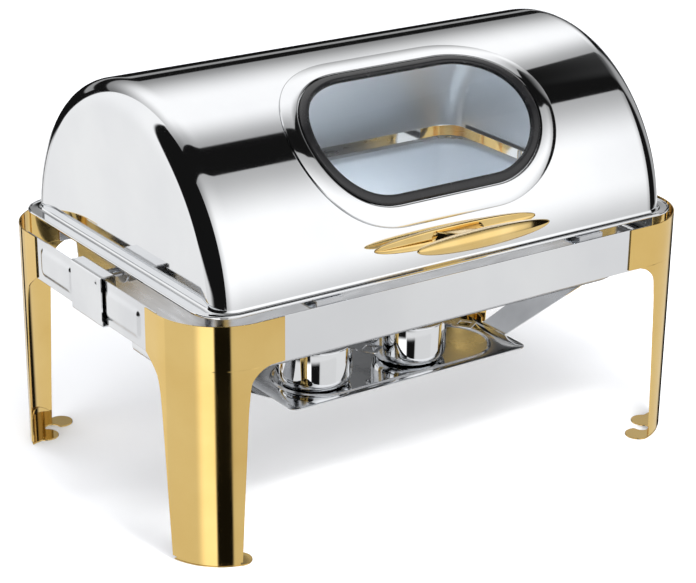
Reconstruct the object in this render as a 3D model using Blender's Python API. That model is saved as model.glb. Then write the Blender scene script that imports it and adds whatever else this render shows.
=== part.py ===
"""Roll-top chafing dish: stand, water pan, food pan, rolling lid with a window, fuel tray."""

import math

import bmesh
import bpy
from mathutils import Matrix, Vector

# Metres. +Z is up, X runs along the dish, and the front faces -Y.
frame_length = 0.620
frame_width = 0.406
frame_top = 0.250
apron_bottom = 0.204
sheet = 0.0012
gap = 0.0003
leg_corner = 0.070
leg_bottom = 0.0045
leg_edge = [  # height, width of the front flange, width of the side flange
    (leg_bottom, 0.0510, 0.0525), (0.0600, 0.0535, 0.0560), (0.1210, 0.0565, 0.0600),
    (0.1600, 0.0585, 0.0630), (0.1755, 0.0600, 0.0650), (0.1860, 0.0612, 0.0680),
    (0.1920, 0.0632, 0.0720), (0.1980, 0.0685, 0.0790), (0.2025, 0.0755, 0.0850),
    (0.2050, 0.0830, 0.0885), (0.2055, 0.0980, 0.0900), (frame_top, 0.0980, 0.0900),
]

pivot_height = 0.242
pin_radius = 0.0030
pin_hole = 0.0033
saddle_half = 0.031

drum_radius = 0.188
drum_half = 0.274
drum_sheet = 0.001
drum_fillet = 0.024
drum_foot = 0.2553
flange_half = (0.2885, 0.1962, 0.035)

window_tilt = math.radians(48.3)
frame_outer = (0.1550, 0.1000)
window_opening = (0.1370, 0.0780)
gasket_outer = (0.1362, 0.0772)

handle_tilt = math.radians(12.8)
handle_standoff = 0.045
leaf_half = 0.098
grip_half = 0.080
handle_screw_x = 0.012

pan_rim = 0.246
pan_floor = 0.172
food_floor = 0.183
tray_height = 0.1055
tray_centre = -0.063
holder_y = -0.068
holder_x = {"left": -0.090, "right": 0.030}
holder_radius = 0.0395
holder_top = 0.150
cover_reach = 0.0432
cover_turn = math.radians(-57)

finishes = {  # colour, roughness, metallic
    "steel": ((0.80, 0.81, 0.82), 0.10, 1.0),
    "dull_steel": ((0.62, 0.63, 0.64), 0.32, 1.0),
    "gold": ((0.80, 0.58, 0.24), 0.12, 1.0),
    "rubber": ((0.02, 0.02, 0.02), 0.55, 0.0),
    "glass": ((0.85, 0.90, 0.92), 0.04, 0.0),
}
sides = {"left": -1, "right": 1}


def clear_scene():
    for obj in list(bpy.data.objects):
        bpy.data.objects.remove(obj)


def new_body(name, point, parent=None):
    body = bpy.data.objects.new(name, None)
    body.empty_display_size = 0.03
    bpy.context.scene.collection.objects.link(body)
    body["at"] = point
    if parent:
        body.parent = parent
        body.location = Vector(point) - Vector(parent["at"])
    else:
        body.location = point
    return body


def solid(name, rings, looped=False):
    """One closed body through rings of equal length, capped at both ends unless looped."""
    grid = bmesh.new()
    loops = [[grid.verts.new(point) for point in ring] for ring in rings]
    pairs = list(zip(loops, loops[1:] + loops[:1])) if looped else list(zip(loops, loops[1:]))
    for low, high in pairs:
        for i in range(len(low)):
            j = (i + 1) % len(low)
            grid.faces.new((low[i], low[j], high[j], high[i]))
    if not looped:
        grid.faces.new(loops[0][::-1])
        grid.faces.new(loops[-1])
    bmesh.ops.recalc_face_normals(grid, faces=grid.faces)
    mesh = bpy.data.meshes.new(name)
    grid.to_mesh(mesh)
    grid.free()
    obj = bpy.data.objects.new(name, mesh)
    bpy.context.scene.collection.objects.link(obj)
    return obj


def prism(name, outline, axis, low, high):
    """The outline in the two other axes, extruded along x, y or z."""
    at = {
        "x": lambda a, b, t: (t, a, b),
        "y": lambda a, b, t: (a, t, b),
        "z": lambda a, b, t: (a, b, t),
    }[axis]
    return solid(name, [[at(a, b, t) for a, b in outline] for t in (low, high)])


def box(name, low, high):
    outline = [(low[0], low[1]), (high[0], low[1]), (high[0], high[1]), (low[0], high[1])]
    return prism(name, outline, "z", low[2], high[2])


def turned(name, centre, direction, profile, steps=24):
    """A solid of revolution through (radius, distance along the direction) pairs."""
    spin = Vector(direction).normalized()
    across = spin.orthogonal().normalized()
    other = spin.cross(across)
    rings = []
    for radius, along in profile:
        ring = []
        for k in range(steps):
            angle = 2 * math.pi * k / steps
            reach = radius * (math.cos(angle) * across + math.sin(angle) * other)
            ring.append(Vector(centre) + along * spin + reach)
        rings.append(ring)
    return solid(name, rings)


def combine(target, tools, operation):
    """Applies one exact Boolean after another and removes the tools."""
    for tool in tools:
        modifier = target.modifiers.new(operation, "BOOLEAN")
        modifier.operation = operation
        modifier.solver = "EXACT"
        modifier.object = tool
        bpy.context.view_layer.update()
        graph = bpy.context.evaluated_depsgraph_get()
        mesh = bpy.data.meshes.new_from_object(target.evaluated_get(graph))
        target.modifiers.clear()
        target.data = mesh
        mesh.name = target.name
        bpy.data.objects.remove(tool)
    return target


def cut(target, *tools):
    return combine(target, tools, "DIFFERENCE")


def join(target, *tools):
    return combine(target, tools, "UNION")


def finish(obj, body, kind):
    """Moves the object under its body, keeping it in place, and gives it its own material."""
    at = Vector(body["at"])
    obj.data.transform(Matrix.Translation(-at))
    obj.parent = body
    colour, roughness, metallic = finishes[kind]
    material = bpy.data.materials.new(obj.name)
    material.use_nodes = True
    surface = material.node_tree.nodes["Principled BSDF"]
    surface.inputs["Base Color"].default_value = (*colour, 1)
    surface.inputs["Roughness"].default_value = roughness
    surface.inputs["Metallic"].default_value = metallic
    if kind == "glass":
        surface.inputs["Alpha"].default_value = 0.3
    obj.data.materials.clear()
    obj.data.materials.append(material)
    return obj


def arc(centre, radius, start, end, steps):
    """Points on a circle, the angles in degrees."""
    points = []
    for k in range(steps + 1):
        angle = math.radians(start + (end - start) * k / steps)
        points.append((centre[0] + radius * math.cos(angle), centre[1] + radius * math.sin(angle)))
    return points


def rounded_rectangle(half_x, half_y, radius, steps=4):
    points = []
    for k, (sx, sy) in enumerate([(1, 1), (-1, 1), (-1, -1), (1, -1)]):
        centre = (sx * (half_x - radius), sy * (half_y - radius))
        points += arc(centre, radius, 90 * k, 90 * k + 90, steps)
    return points


def rectangle_rings(sizes, steps=4):
    """Rings at one height each, from (half_x, half_y, radius, height)."""
    return [
        [(x, y, height) for x, y in rounded_rectangle(half_x, half_y, radius, steps)]
        for half_x, half_y, radius, height in sizes
    ]


def along_corner(reach, inset):
    """How far in from the outer face the leg's round corner is, at a distance from its outer corner."""
    radius = leg_corner - inset
    return leg_corner - math.sqrt(radius ** 2 - max(leg_corner - reach, 0) ** 2)


def corner_path(front, side, inset, steps=10):
    """From the front flange's edge round the corner to the side flange's edge, as distances
    from the outer corner. An edge that is nearer than the end of the bend lies on the bend."""
    radius = leg_corner - inset
    start = 270 - math.degrees(math.asin(max(leg_corner - front, 0) / radius))
    end = 180 + math.degrees(math.asin(max(leg_corner - side, 0) / radius))
    flat_front, flat_side = front > leg_corner, side > leg_corner
    turn = arc((leg_corner, leg_corner), radius, start, end, steps - flat_front - flat_side)
    return flat_front * [(front, inset)] + turn + flat_side * [(inset, side)]


def at_corner(sx, sy, u, v, z):
    return (sx * (frame_length / 2 - u), sy * (frame_width / 2 - v), z)


def build_leg(name, sx, sy):
    rings = []
    for height, front, side in leg_edge:
        outer = corner_path(front, side, 0)
        inner = corner_path(front, side, sheet)
        rings.append([at_corner(sx, sy, u, v, height) for u, v in outer + inner[::-1]])
    return solid(name, rings)


def build_foot(name, sx, sy):
    """A base plate with two rounded tabs and a round notch, and an arched wall in the leg."""
    inset = 0.0012
    tab_radius = 0.0135
    tab_reach = 0.0545
    outline = corner_path(tab_reach, 0.0520, inset)[::-1]
    outline += arc((tab_reach, along_corner(tab_reach, inset) + tab_radius), tab_radius, 275, 478, 9)
    outline += arc((0.0400, 0.0262), 0.0078, -20, -180, 6)
    outline += arc((0.0260, 0.0390), tab_radius, -60, 135, 8)
    plate = solid(
        name, [[at_corner(sx, sy, u, v, z) for u, v in outline] for z in (0, 0.0015)]
    )
    outer = corner_path(0.050, 0.050, 0.0016)
    inner = corner_path(0.050, 0.050, 0.0031)
    rings = []
    for k, (far, near) in enumerate(zip(outer, inner)):
        top = 0.010 + 0.016 * math.sin(math.pi * k / (len(outer) - 1))
        rings.append(
            [
                at_corner(sx, sy, *far, 0.0008), at_corner(sx, sy, *near, 0.0008),
                at_corner(sx, sy, *near, top), at_corner(sx, sy, *far, top),
            ]
        )
    return join(plate, solid("wall", rings))


def build_apron(name, sy, lip):
    outer = frame_width / 2 - sheet - gap
    inner = outer - sheet
    low, high = apron_bottom, frame_top
    outline = [(outer, low), (outer, high), (inner, high), (inner, low)]
    if lip:
        outline[3:] = [
            (inner, low + sheet), (outer - lip, low + sheet), (outer - lip, low),
        ]
    outline = [(sy * y, z) for y, z in outline]
    return prism(name, outline, "x", -0.2385, 0.2385)


def raised_pad(name, sx, y_low, y_high, inset, start, rise):
    """A rounded rectangle with sloping sides, standing on the panel's outer face."""
    centre, half_y = (y_low + y_high) / 2, (y_high - y_low) / 2
    rings = []
    for extra, x in ((0, start), (0.0015, start + rise)):
        shape = rounded_rectangle(
            half_y - inset - extra, 0.0155 - inset - extra, 0.006 - inset - extra, 3
        )
        rings.append([(sx * x, centre + y, 0.2275 + z) for y, z in shape])
    return solid(name, rings)


def build_side_panel(name, sx):
    outer = frame_length / 2 - sheet - gap
    inner = outer - sheet
    low = apron_bottom
    outline = [
        (sx * outer, low), (sx * outer, frame_top), (sx * inner, frame_top),
        (sx * inner, low + sheet), (sx * 0.2995, low + sheet), (sx * 0.2995, low),
    ]
    panel = prism(name, outline, "y", -0.1315, 0.1315)
    for y_low, y_high in ((0.034, 0.103), (-0.103, -0.034)):
        join(panel, raised_pad("pad", sx, y_low, y_high, 0, outer - 0.0006, 0.0026))
        cut(panel, raised_pad("pocket", sx, y_low, y_high, 0.0012, inner - 0.0010, 0.0030))
    return panel


def build_saddle(name, sx):
    """A clip over the panel's top edge. Its inner leg holds the hinge pin."""
    outline = [
        (0.2955, 0.2260), (0.2970, 0.2260), (0.2970, 0.2516), (0.3108, 0.2516),
        (0.3108, 0.2024), (0.3030, 0.2024), (0.3030, 0.2010), (0.3122, 0.2010),
        (0.3122, 0.2530), (0.2955, 0.2530),
    ]
    saddle = prism(
        name, [(sx * x, z) for x, z in outline], "y", -saddle_half, saddle_half
    )
    hole = turned(
        "hole", (sx * 0.290, 0, pivot_height), (sx, 0, 0),
        [(pin_hole, 0), (pin_hole, 0.012)],
    )
    return cut(saddle, hole)


def build_hinge_pin(name, sx):
    shoulder = 0.0045
    profile = [
        (pin_radius, 0.2560), (pin_radius, 0.2735), (shoulder, 0.2735), (shoulder, 0.2950),
        (pin_radius, 0.2950), (pin_radius, 0.3045),
    ]
    return turned(name, (0, 0, pivot_height), (sx, 0, 0), profile)


def build_nut(name, sx):
    nut = turned(
        name, (sx * 0.2975, 0, pivot_height), (sx, 0, 0), [(0.0058, 0), (0.0058, 0.0050)], 6
    )
    hole = turned(
        "hole", (sx * 0.2900, 0, pivot_height), (sx, 0, 0), [(pin_hole, 0), (pin_hole, 0.020)]
    )
    return cut(nut, hole)


def build_front_rest(name, x):
    """Holds the front rim of the water pan, and stops the lid's flange with its top lip."""
    outline = [
        (0.2000, 0.2150), (0.1985, 0.2150), (0.1985, 0.2440), (0.1710, 0.2440),
        (0.1710, 0.2457), (0.1770, 0.2457), (0.1770, 0.2477), (0.1735, 0.2477),
        (0.1735, 0.2492), (0.1785, 0.2492), (0.1785, 0.2457), (0.1985, 0.2457),
        (0.1985, 0.2535), (0.1900, 0.2535), (0.1900, 0.2550), (0.2000, 0.2550),
    ]
    return prism(name, [(-y, z) for y, z in outline], "x", x - 0.015, x + 0.015)


def build_water_pan():
    rings = rectangle_rings(
        [
            (0.2465, 0.1440, 0.020, pan_floor + 0.001), (0.2495, 0.1470, 0.022, pan_floor + 0.004),
            (0.2535, 0.1510, 0.024, pan_rim + 0.001), (0.2680, 0.1765, 0.030, pan_rim + 0.001),
            (0.2680, 0.1765, 0.030, pan_rim), (0.2545, 0.1520, 0.025, pan_rim),
            (0.2505, 0.1480, 0.023, pan_floor + 0.003), (0.2470, 0.1445, 0.020, pan_floor),
        ]
    )
    return solid("water_pan", rings)


def build_pivot_block(name, sx):
    block = box(name, (0.2549, -0.010, 0.2330), (0.2698, 0.010, 0.2456))
    block.data.transform(Matrix.Scale(sx, 4, (1, 0, 0)))
    if sx < 0:
        block.data.flip_normals()
    hole = turned(
        "hole", (sx * 0.250, 0, pivot_height), (sx, 0, 0), [(pin_hole, 0), (pin_hole, 0.025)]
    )
    return cut(block, hole)


def build_food_pan():
    rim = pan_rim + 0.0013
    rings = rectangle_rings(
        [
            (0.2360, 0.1335, 0.030, food_floor + 0.001), (0.2400, 0.1375, 0.033, food_floor + 0.005),
            (0.2492, 0.1467, 0.038, rim + 0.001), (0.2650, 0.1625, 0.045, rim + 0.001),
            (0.2650, 0.1625, 0.045, rim), (0.2502, 0.1477, 0.039, rim),
            (0.2410, 0.1385, 0.034, food_floor + 0.004), (0.2365, 0.1340, 0.030, food_floor),
        ]
    )
    return solid("food_pan", rings)


def drum(name, inset, foot, steps=36):
    """A half cylinder along X with rounded ends, its flat side at the foot height."""
    radius, fillet = drum_radius - inset, drum_fillet - inset
    base = foot - pivot_height
    stations = []
    for k in range(5):
        turn = math.radians(90 - 22.5 * k)
        stations.append(
            (drum_half - drum_fillet + fillet * math.sin(turn), radius - fillet * (1 - math.cos(turn)))
        )
    stations += [(-x, reach) for x, reach in reversed(stations)]
    rings = []
    for x, reach in stations:
        first = math.asin(base / reach)
        ring = []
        for k in range(steps + 1):
            angle = first + (math.pi - 2 * first) * k / steps
            ring.append((x, -reach * math.cos(angle), pivot_height + reach * math.sin(angle)))
        rings.append(ring)
    return solid(name, rings)


def on_drum(x, along, radius):
    """A point at an arc distance above the window's middle line."""
    angle = window_tilt + along / drum_radius
    return (x, -radius * math.cos(angle), pivot_height + radius * math.sin(angle))


def stadium_ring(half_x, half_arc, radius, steps=16):
    straight = half_x - half_arc
    points = arc((straight, 0), half_arc, -90, 90, steps)
    points += arc((-straight, 0), half_arc, 90, 270, steps)
    return [on_drum(x, along, radius) for x, along in points]


def window_band(name, outer, profile):
    """A closed band round the window, from (inset, height above the drum) pairs."""
    rings = [
        stadium_ring(outer[0] - inset_x, outer[1] - inset_arc, drum_radius + rise)
        for inset_x, inset_arc, rise in profile
    ]
    return solid(name, rings, looped=True)


def build_lid_shell():
    shell = cut(drum("lid_shell", 0, drum_foot), drum("hollow", drum_sheet, drum_foot - 0.010))
    half_x, half_y, corner = flange_half
    rim = [
        (0.2735, 0.1870, 0.0235, 0.2556), (half_x - 0.0022, half_y - 0.0022, 0.0328, 0.2556),
        (half_x - 0.0015, half_y - 0.0015, 0.0335, 0.2553), (half_x, half_y, corner, 0.2557),
        (half_x, half_y, corner, 0.2574), (half_x - 0.0015, half_y - 0.0015, 0.0335, 0.2579),
        (half_x - 0.0022, half_y - 0.0022, 0.0328, 0.2568), (0.2735, 0.1870, 0.0235, 0.2568),
    ]
    join(shell, solid("flange", rectangle_rings(rim), looped=True))
    opening = solid("opening", [stadium_ring(*window_opening, r) for r in (0.176, 0.225)])
    holes = [
        turned(
            "hole", handle_point(x, 0, -0.010), handle_point(0, 0, 1, origin=False),
            [(0.0025, 0), (0.0025, 0.020)], 16,
        )
        for x in (-handle_screw_x, handle_screw_x)
    ]
    return cut(shell, opening, *holes)


def build_window_frame():
    profile = [
        (0, 0, 0.0005), (0, 0, 0.0012), (0.0015, 0.0015, 0.0022), (0.0165, 0.0205, 0.0022),
        (0.0175, 0.0215, 0.0012), (0.0175, 0.0215, 0.0005),
    ]
    return window_band("window_frame", frame_outer, profile)


def build_window_gasket():
    profile = [
        (0, -0.0028), (0, 0.0016), (0.0015, 0.0026), (0.0085, 0.0026), (0.0100, 0.0016),
        (0.0100, 0.0010), (0.0050, 0.0010), (0.0050, -0.0018), (0.0100, -0.0018),
        (0.0100, -0.0028),
    ]
    return window_band("window_gasket", gasket_outer, [(d, d, rise) for d, rise in profile])


def build_window_retainer():
    profile = [
        (0, 0, -0.0016), (0.0122, 0.0127, -0.0016), (0.0130, 0.0135, -0.0034),
        (0.0200, 0.0205, -0.0034), (0.0200, 0.0205, -0.0046), (0.0115, 0.0115, -0.0046),
        (0.0107, 0.0107, -0.0028), (0, 0, -0.0028),
    ]
    return window_band("window_retainer", (0.1500, 0.0915), profile)


def build_window_glass(steps=16):
    half_x, half_arc = gasket_outer[0] - 0.0055, gasket_outer[1] - 0.0055
    rings = []
    for k in range(steps + 1):
        turn = math.radians(-90 + 180 * k / steps)
        x = half_x - half_arc + half_arc * math.cos(turn)
        along = half_arc * math.sin(turn)
        rings.append(
            [
                on_drum(-x, along, drum_radius - 0.0014), on_drum(x, along, drum_radius - 0.0014),
                on_drum(x, along, drum_radius + 0.0006), on_drum(-x, along, drum_radius + 0.0006),
            ]
        )
    return solid("window_glass", rings)


def handle_point(x, up, out, origin=True):
    """From the handle's foot on the drum: up along the surface, and out from it."""
    normal = Vector((0, -math.cos(handle_tilt), math.sin(handle_tilt)))
    rise = Vector((0, math.sin(handle_tilt), math.cos(handle_tilt)))
    start = Vector((0, 0, pivot_height)) + drum_radius * normal if origin else Vector()
    return start + Vector((x, 0, 0)) + up * rise + out * normal


def build_handle():
    """A leaf on the drum, a neck and a boat-shaped grip, cast in one."""
    leaf, grip = [], []
    for k in range(-7, 8):
        share = math.sin(math.pi / 2 * k / 7.3)
        fall = math.sqrt(1 - share * share)
        x, high, thick = leaf_half * share, 0.0095 * fall, 0.0005 + 0.0040 * fall
        section = [(-high, 0.0005), (-0.6 * high, 0.8 * thick), (0, thick)]
        section += [(0.6 * high, 0.8 * thick), (high, 0.0005)]
        leaf.append([handle_point(x, up, out) for up, out in section])
        x, high, thick = grip_half * share, 0.0105 * fall, 0.0090 * fall
        section = arc((0, 0), 1, 0, 330, 11)
        grip.append(
            [handle_point(x, high * a, handle_standoff + thick * b) for a, b in section]
        )
    neck = []
    for out, half_x, half_up in (
        (0.0020, 0.0300, 0.0062), (0.0100, 0.0225, 0.0050), (0.0250, 0.0180, 0.0046),
        (handle_standoff, 0.0220, 0.0046),
    ):
        shape = rounded_rectangle(half_x, half_up, 0.0030, 2)
        neck.append([handle_point(x, up, out) for x, up in shape])
    handle = join(solid("handle", grip), solid("neck", neck), solid("leaf", leaf))
    holes = [
        turned(
            "hole", handle_point(x, 0, -0.004), handle_point(0, 0, 1, origin=False),
            [(0.0024, 0), (0.0024, 0.0170)], 16,
        )
        for x in (-handle_screw_x, handle_screw_x)
    ]
    return cut(handle, *holes)


def build_handle_screw(name, x):
    profile = [(0.0038, -0.0036), (0.0045, -0.0030), (0.0045, -0.0014), (0.0020, -0.0014),
               (0.0020, 0.0120)]
    return turned(
        name, handle_point(x, 0, 0), handle_point(0, 0, 1, origin=False), profile, 16
    )


def build_hinge_plate(name, sx):
    outline = [(-0.018, 0.298), *arc((0, pivot_height), 0.012, 180, 360, 10), (0.018, 0.298)]
    low, high = sorted((sx * 0.2705, sx * 0.2725))
    plate = prism(name, outline, "x", low, high)
    hole = turned(
        "hole", (sx * 0.265, 0, pivot_height), (sx, 0, 0), [(pin_hole, 0), (pin_hole, 0.015)]
    )
    return cut(plate, hole)


def wing(name, sx):
    """A strip from the tray's end up to the hook over the side panel's lip."""
    path = [  # x, z, first y, last y
        (0.1480, 0.1049, -0.080, -0.040), (0.1520, 0.1049, -0.080, -0.040),
        (0.2972, 0.1870, -0.122, -0.064), (0.2972, 0.2064, -0.122, -0.064),
        (0.3060, 0.2064, -0.122, -0.064),
    ]
    rings = []
    for k, (x, z, first, last) in enumerate(path):
        before = Vector(path[max(k - 1, 0)][:2])
        here = Vector((x, z))
        after = Vector(path[min(k + 1, len(path) - 1)][:2])
        arriving = (here - before).normalized() if k else (after - here).normalized()
        leaving = (after - here).normalized() if k < len(path) - 1 else arriving
        normal = Vector((-arriving.y - leaving.y, arriving.x + leaving.x)).normalized()
        half = 0.0005 / max(normal.dot(Vector((-leaving.y, leaving.x))), 0.5)
        low, high = here - half * normal, here + half * normal
        rings.append(
            [
                (sx * low.x, first, low.y), (sx * low.x, last, low.y),
                (sx * high.x, last, high.y), (sx * high.x, first, high.y),
            ]
        )
    return solid(name, rings)


def build_fuel_tray():
    plate = [(x, -0.064 + y) for x, y in rounded_rectangle(0.150, 0.056, 0.008, 3)]
    tray = prism("fuel_tray", plate, "z", tray_height - sheet, tray_height)
    ridge = []
    for half_x, half_y, rise in (
        (0.1270, 0.0460, -0.0006), (0.1282, 0.0472, 0.0015), (0.1303, 0.0493, 0.0015),
        (0.1315, 0.0505, -0.0006),
    ):
        shape = rounded_rectangle(half_x, half_y, half_y - 0.0002, 8)
        ridge.append([(x, tray_centre + y, tray_height + rise) for x, y in shape])
    join(tray, solid("ridge", ridge, looped=True))
    return join(tray, wing("wing", -1), wing("wing", 1))


def around(name, along, across=0.0):
    """A point by the named holder, along the line from its middle to the finger tab."""
    c, s = math.cos(cover_turn), math.sin(cover_turn)
    return (holder_x[name] + along * c - across * s, holder_y + along * s + across * c)


def build_fuel_holder(name, side):
    r, base = holder_radius, tray_height + gap
    profile = [
        (r - 0.0110, base + 0.0012), (r - 0.0048, base + 0.0028), (r - 0.0015, base + 0.0070),
        (r - 0.0010, base + 0.0120), (r - 0.0010, holder_top), (r, holder_top),
        (r, base + 0.0120), (r - 0.0006, base + 0.0060), (r - 0.0040, base + 0.0016),
        (r - 0.0100, base),
    ]
    cup = turned(name, (*around(side, 0), 0), (0, 0, 1), profile)
    ear = [(-r + 0.0004, 0.006), *arc((-cover_reach, 0), 0.0045, 100, 260, 5), (-r + 0.0004, -0.006)]
    ear = prism("ear", [around(side, u, v) for u, v in ear], "z", 0.1440, 0.1456)
    hole = turned(
        "hole", (*around(side, -cover_reach), 0.140), (0, 0, 1), [(0.0019, 0), (0.0019, 0.010)], 12
    )
    return join(cup, cut(ear, hole))


def build_cover_rivet(name, side):
    profile = [
        (0.0030, 0.1426), (0.0030, 0.1436), (0.0015, 0.1436), (0.0015, 0.1523),
        (0.0030, 0.1523), (0.0026, 0.1533),
    ]
    return turned(name, (*around(side, -cover_reach), 0), (0, 0, 1), profile, 12)


def build_cover(name, side):
    """A disc over the cup, with a pivot ear at one side and a finger tab at the other."""
    outline = arc((0, 0), 0.0408, 10, 172, 12)
    outline += arc((-cover_reach, 0), 0.0055, 95, 265, 6)
    outline += arc((0, 0), 0.0408, 188, 350, 12)
    outline += [(0.050, -0.007), (0.050, -0.010), (0.072, -0.010)]
    outline += [(0.072, 0.010), (0.050, 0.010), (0.050, 0.007)]
    cover = prism(name, [around(side, u, v) for u, v in outline], "z", 0.1506, 0.1518)
    window = [(0.0550, -0.0055), (0.0680, -0.0055), (0.0680, 0.0055), (0.0550, 0.0055)]
    window = prism("window", [around(side, u, v) for u, v in window], "z", 0.148, 0.155)
    hole = turned(
        "hole", (*around(side, -cover_reach), 0.148), (0, 0, 1), [(0.0019, 0), (0.0019, 0.008)], 12
    )
    return cut(cover, window, hole)


def build_stand(body):
    for front, sy in (("front", -1), ("back", 1)):
        for side, sx in sides.items():
            finish(build_leg(f"leg_{front}_{side}", sx, sy), body, "gold")
            finish(build_foot(f"foot_{front}_{side}", sx, sy), body, "gold")
    finish(build_apron("apron_front", -1, 0.008), body, "steel")
    finish(build_apron("apron_back", 1, 0), body, "steel")
    for side, sx in sides.items():
        finish(build_side_panel(f"side_panel_{side}", sx), body, "steel")
        finish(build_saddle(f"hinge_saddle_{side}", sx), body, "steel")
        finish(build_hinge_pin(f"hinge_pin_{side}", sx), body, "dull_steel")
        finish(build_nut(f"hinge_nut_{side}", sx), body, "dull_steel")
        finish(build_front_rest(f"front_rest_{side}", sx * 0.160), body, "dull_steel")
        finish(build_pivot_block(f"pivot_block_{side}", sx), body, "dull_steel")
    finish(build_water_pan(), body, "dull_steel")


def build_lid(body):
    finish(build_lid_shell(), body, "steel")
    finish(build_window_frame(), body, "steel")
    finish(build_window_gasket(), body, "rubber")
    finish(build_window_glass(), body, "glass")
    finish(build_window_retainer(), body, "dull_steel")
    finish(build_handle(), body, "gold")
    for side, sx in sides.items():
        finish(build_handle_screw(f"handle_screw_{side}", sx * handle_screw_x), body, "dull_steel")
        finish(build_hinge_plate(f"hinge_plate_{side}", sx), body, "dull_steel")


def centre_depth(root):
    """Moves the whole object along Y, so that its origin is under the middle of its box."""
    bpy.context.view_layer.update()
    reach = [
        (obj.matrix_world @ vertex.co).y
        for obj in bpy.data.objects if obj.type == "MESH" for vertex in obj.data.vertices
    ]
    root.location.y = -(min(reach) + max(reach)) / 2


def main():
    clear_scene()
    stand = new_body("stand", (0, 0, 0))
    build_stand(stand)
    build_lid(new_body("lid", (0, 0, pivot_height), stand))
    finish(build_food_pan(), new_body("food", (0, 0, pan_rim), stand), "dull_steel")
    tray = new_body("tray", (0, tray_centre, tray_height), stand)
    finish(build_fuel_tray(), tray, "steel")
    for side in sides:
        holder = new_body(f"holder_{side}", (*around(side, 0), tray_height), tray)
        finish(build_fuel_holder(f"fuel_holder_{side}", side), holder, "steel")
        finish(build_cover_rivet(f"cover_rivet_{side}", side), holder, "dull_steel")
        cover = new_body(f"cover_{side}", (*around(side, -cover_reach), 0.1512), holder)
        finish(build_cover(f"holder_cover_{side}", side), cover, "steel")
    centre_depth(stand)


main()
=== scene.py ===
import math

import bmesh
import bpy
from mathutils import Matrix, Vector


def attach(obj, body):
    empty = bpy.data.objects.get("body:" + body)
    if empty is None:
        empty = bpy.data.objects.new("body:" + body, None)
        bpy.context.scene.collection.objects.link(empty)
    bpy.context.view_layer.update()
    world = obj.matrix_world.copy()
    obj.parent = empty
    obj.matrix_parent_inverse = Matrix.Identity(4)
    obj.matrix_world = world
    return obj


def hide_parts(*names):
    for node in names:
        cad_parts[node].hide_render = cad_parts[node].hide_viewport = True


# Metres. X runs along the dish, the front faces -Y and Z is up.
dish = {
    "middleY": 0.016493,  # front-to-back middle of the stand in the shared frame
    "length": 0.620,
    "width": 0.406,
    "frameTop": 0.250,
    "apronBottom": 0.204,
    "sheet": 0.0012,
    "gap": 0.0003,
    "pivotHeight": 0.242,
}
sides = {"left": -1, "right": 1}

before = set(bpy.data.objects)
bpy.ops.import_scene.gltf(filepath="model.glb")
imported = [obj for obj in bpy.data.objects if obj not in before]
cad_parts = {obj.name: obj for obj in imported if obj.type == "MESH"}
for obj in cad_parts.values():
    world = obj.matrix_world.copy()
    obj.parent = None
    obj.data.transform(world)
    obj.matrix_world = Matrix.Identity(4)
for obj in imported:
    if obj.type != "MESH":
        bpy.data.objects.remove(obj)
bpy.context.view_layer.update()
print("frame loaded:", len(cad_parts), "nodes")


def addNode(tree, kind, settings=None, **values):
    node = tree.nodes.new(kind)
    for key, value in (settings or {}).items():
        setattr(node, key, value)
    for key, value in values.items():
        node.inputs[key.replace("_", " ")].default_value = value
    return node


def noiseOf(tree, place, scale, detail, stretch=(1, 1, 1)):
    spread = addNode(tree, "ShaderNodeMapping", Scale=stretch)
    tree.links.new(place.outputs["Object"], spread.inputs["Vector"])
    noise = addNode(tree, "ShaderNodeTexNoise", Scale=scale, Detail=detail)
    tree.links.new(spread.outputs["Vector"], noise.inputs["Vector"])
    return noise.outputs["Fac"]


def spanOf(tree, value, low, high, fromLow=0.3, fromHigh=0.7):
    span = addNode(tree, "ShaderNodeMapRange", From_Min=fromLow, From_Max=fromHigh, To_Min=low, To_Max=high)
    tree.links.new(value, span.inputs["Value"])
    return span.outputs["Result"]


def insideOf(tree, place, outer, finish):
    # another gloss on the inside of the drum, told apart by the distance from its outer skin
    def doing(operation, a, b=0.0):
        node = addNode(tree, "ShaderNodeMath", {"operation": operation})
        for socket, value in zip(node.inputs, (a, b)):
            if isinstance(value, bpy.types.NodeSocket):
                tree.links.new(value, socket)
            else:
                socket.default_value = value
        return node.outputs[0]

    spot = addNode(tree, "ShaderNodeSeparateXYZ")
    tree.links.new(place.outputs["Object"], spot.inputs[0])
    x, y, z = spot.outputs
    length = doing("MAXIMUM", doing("SUBTRACT", doing("ABSOLUTE", x), finish["straight"]), 0.0)
    y, z = doing("SUBTRACT", y, dish["middleY"]), doing("SUBTRACT", z, dish["pivotHeight"])
    reach = doing("SQRT", doing("ADD", doing("MULTIPLY", y, y), doing("MULTIPLY", z, z)))
    reach = doing("MAXIMUM", doing("SUBTRACT", reach, finish["core"]), 0.0)
    away = doing("SQRT", doing("ADD", doing("MULTIPLY", length, length), doing("MULTIPLY", reach, reach)))
    inner = doing("LESS_THAN", away, finish["fillet"] - 0.0005)
    change = doing("SUBTRACT", finish["roughness"], outer)
    return doing("ADD", outer, doing("MULTIPLY", inner, change))


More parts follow.
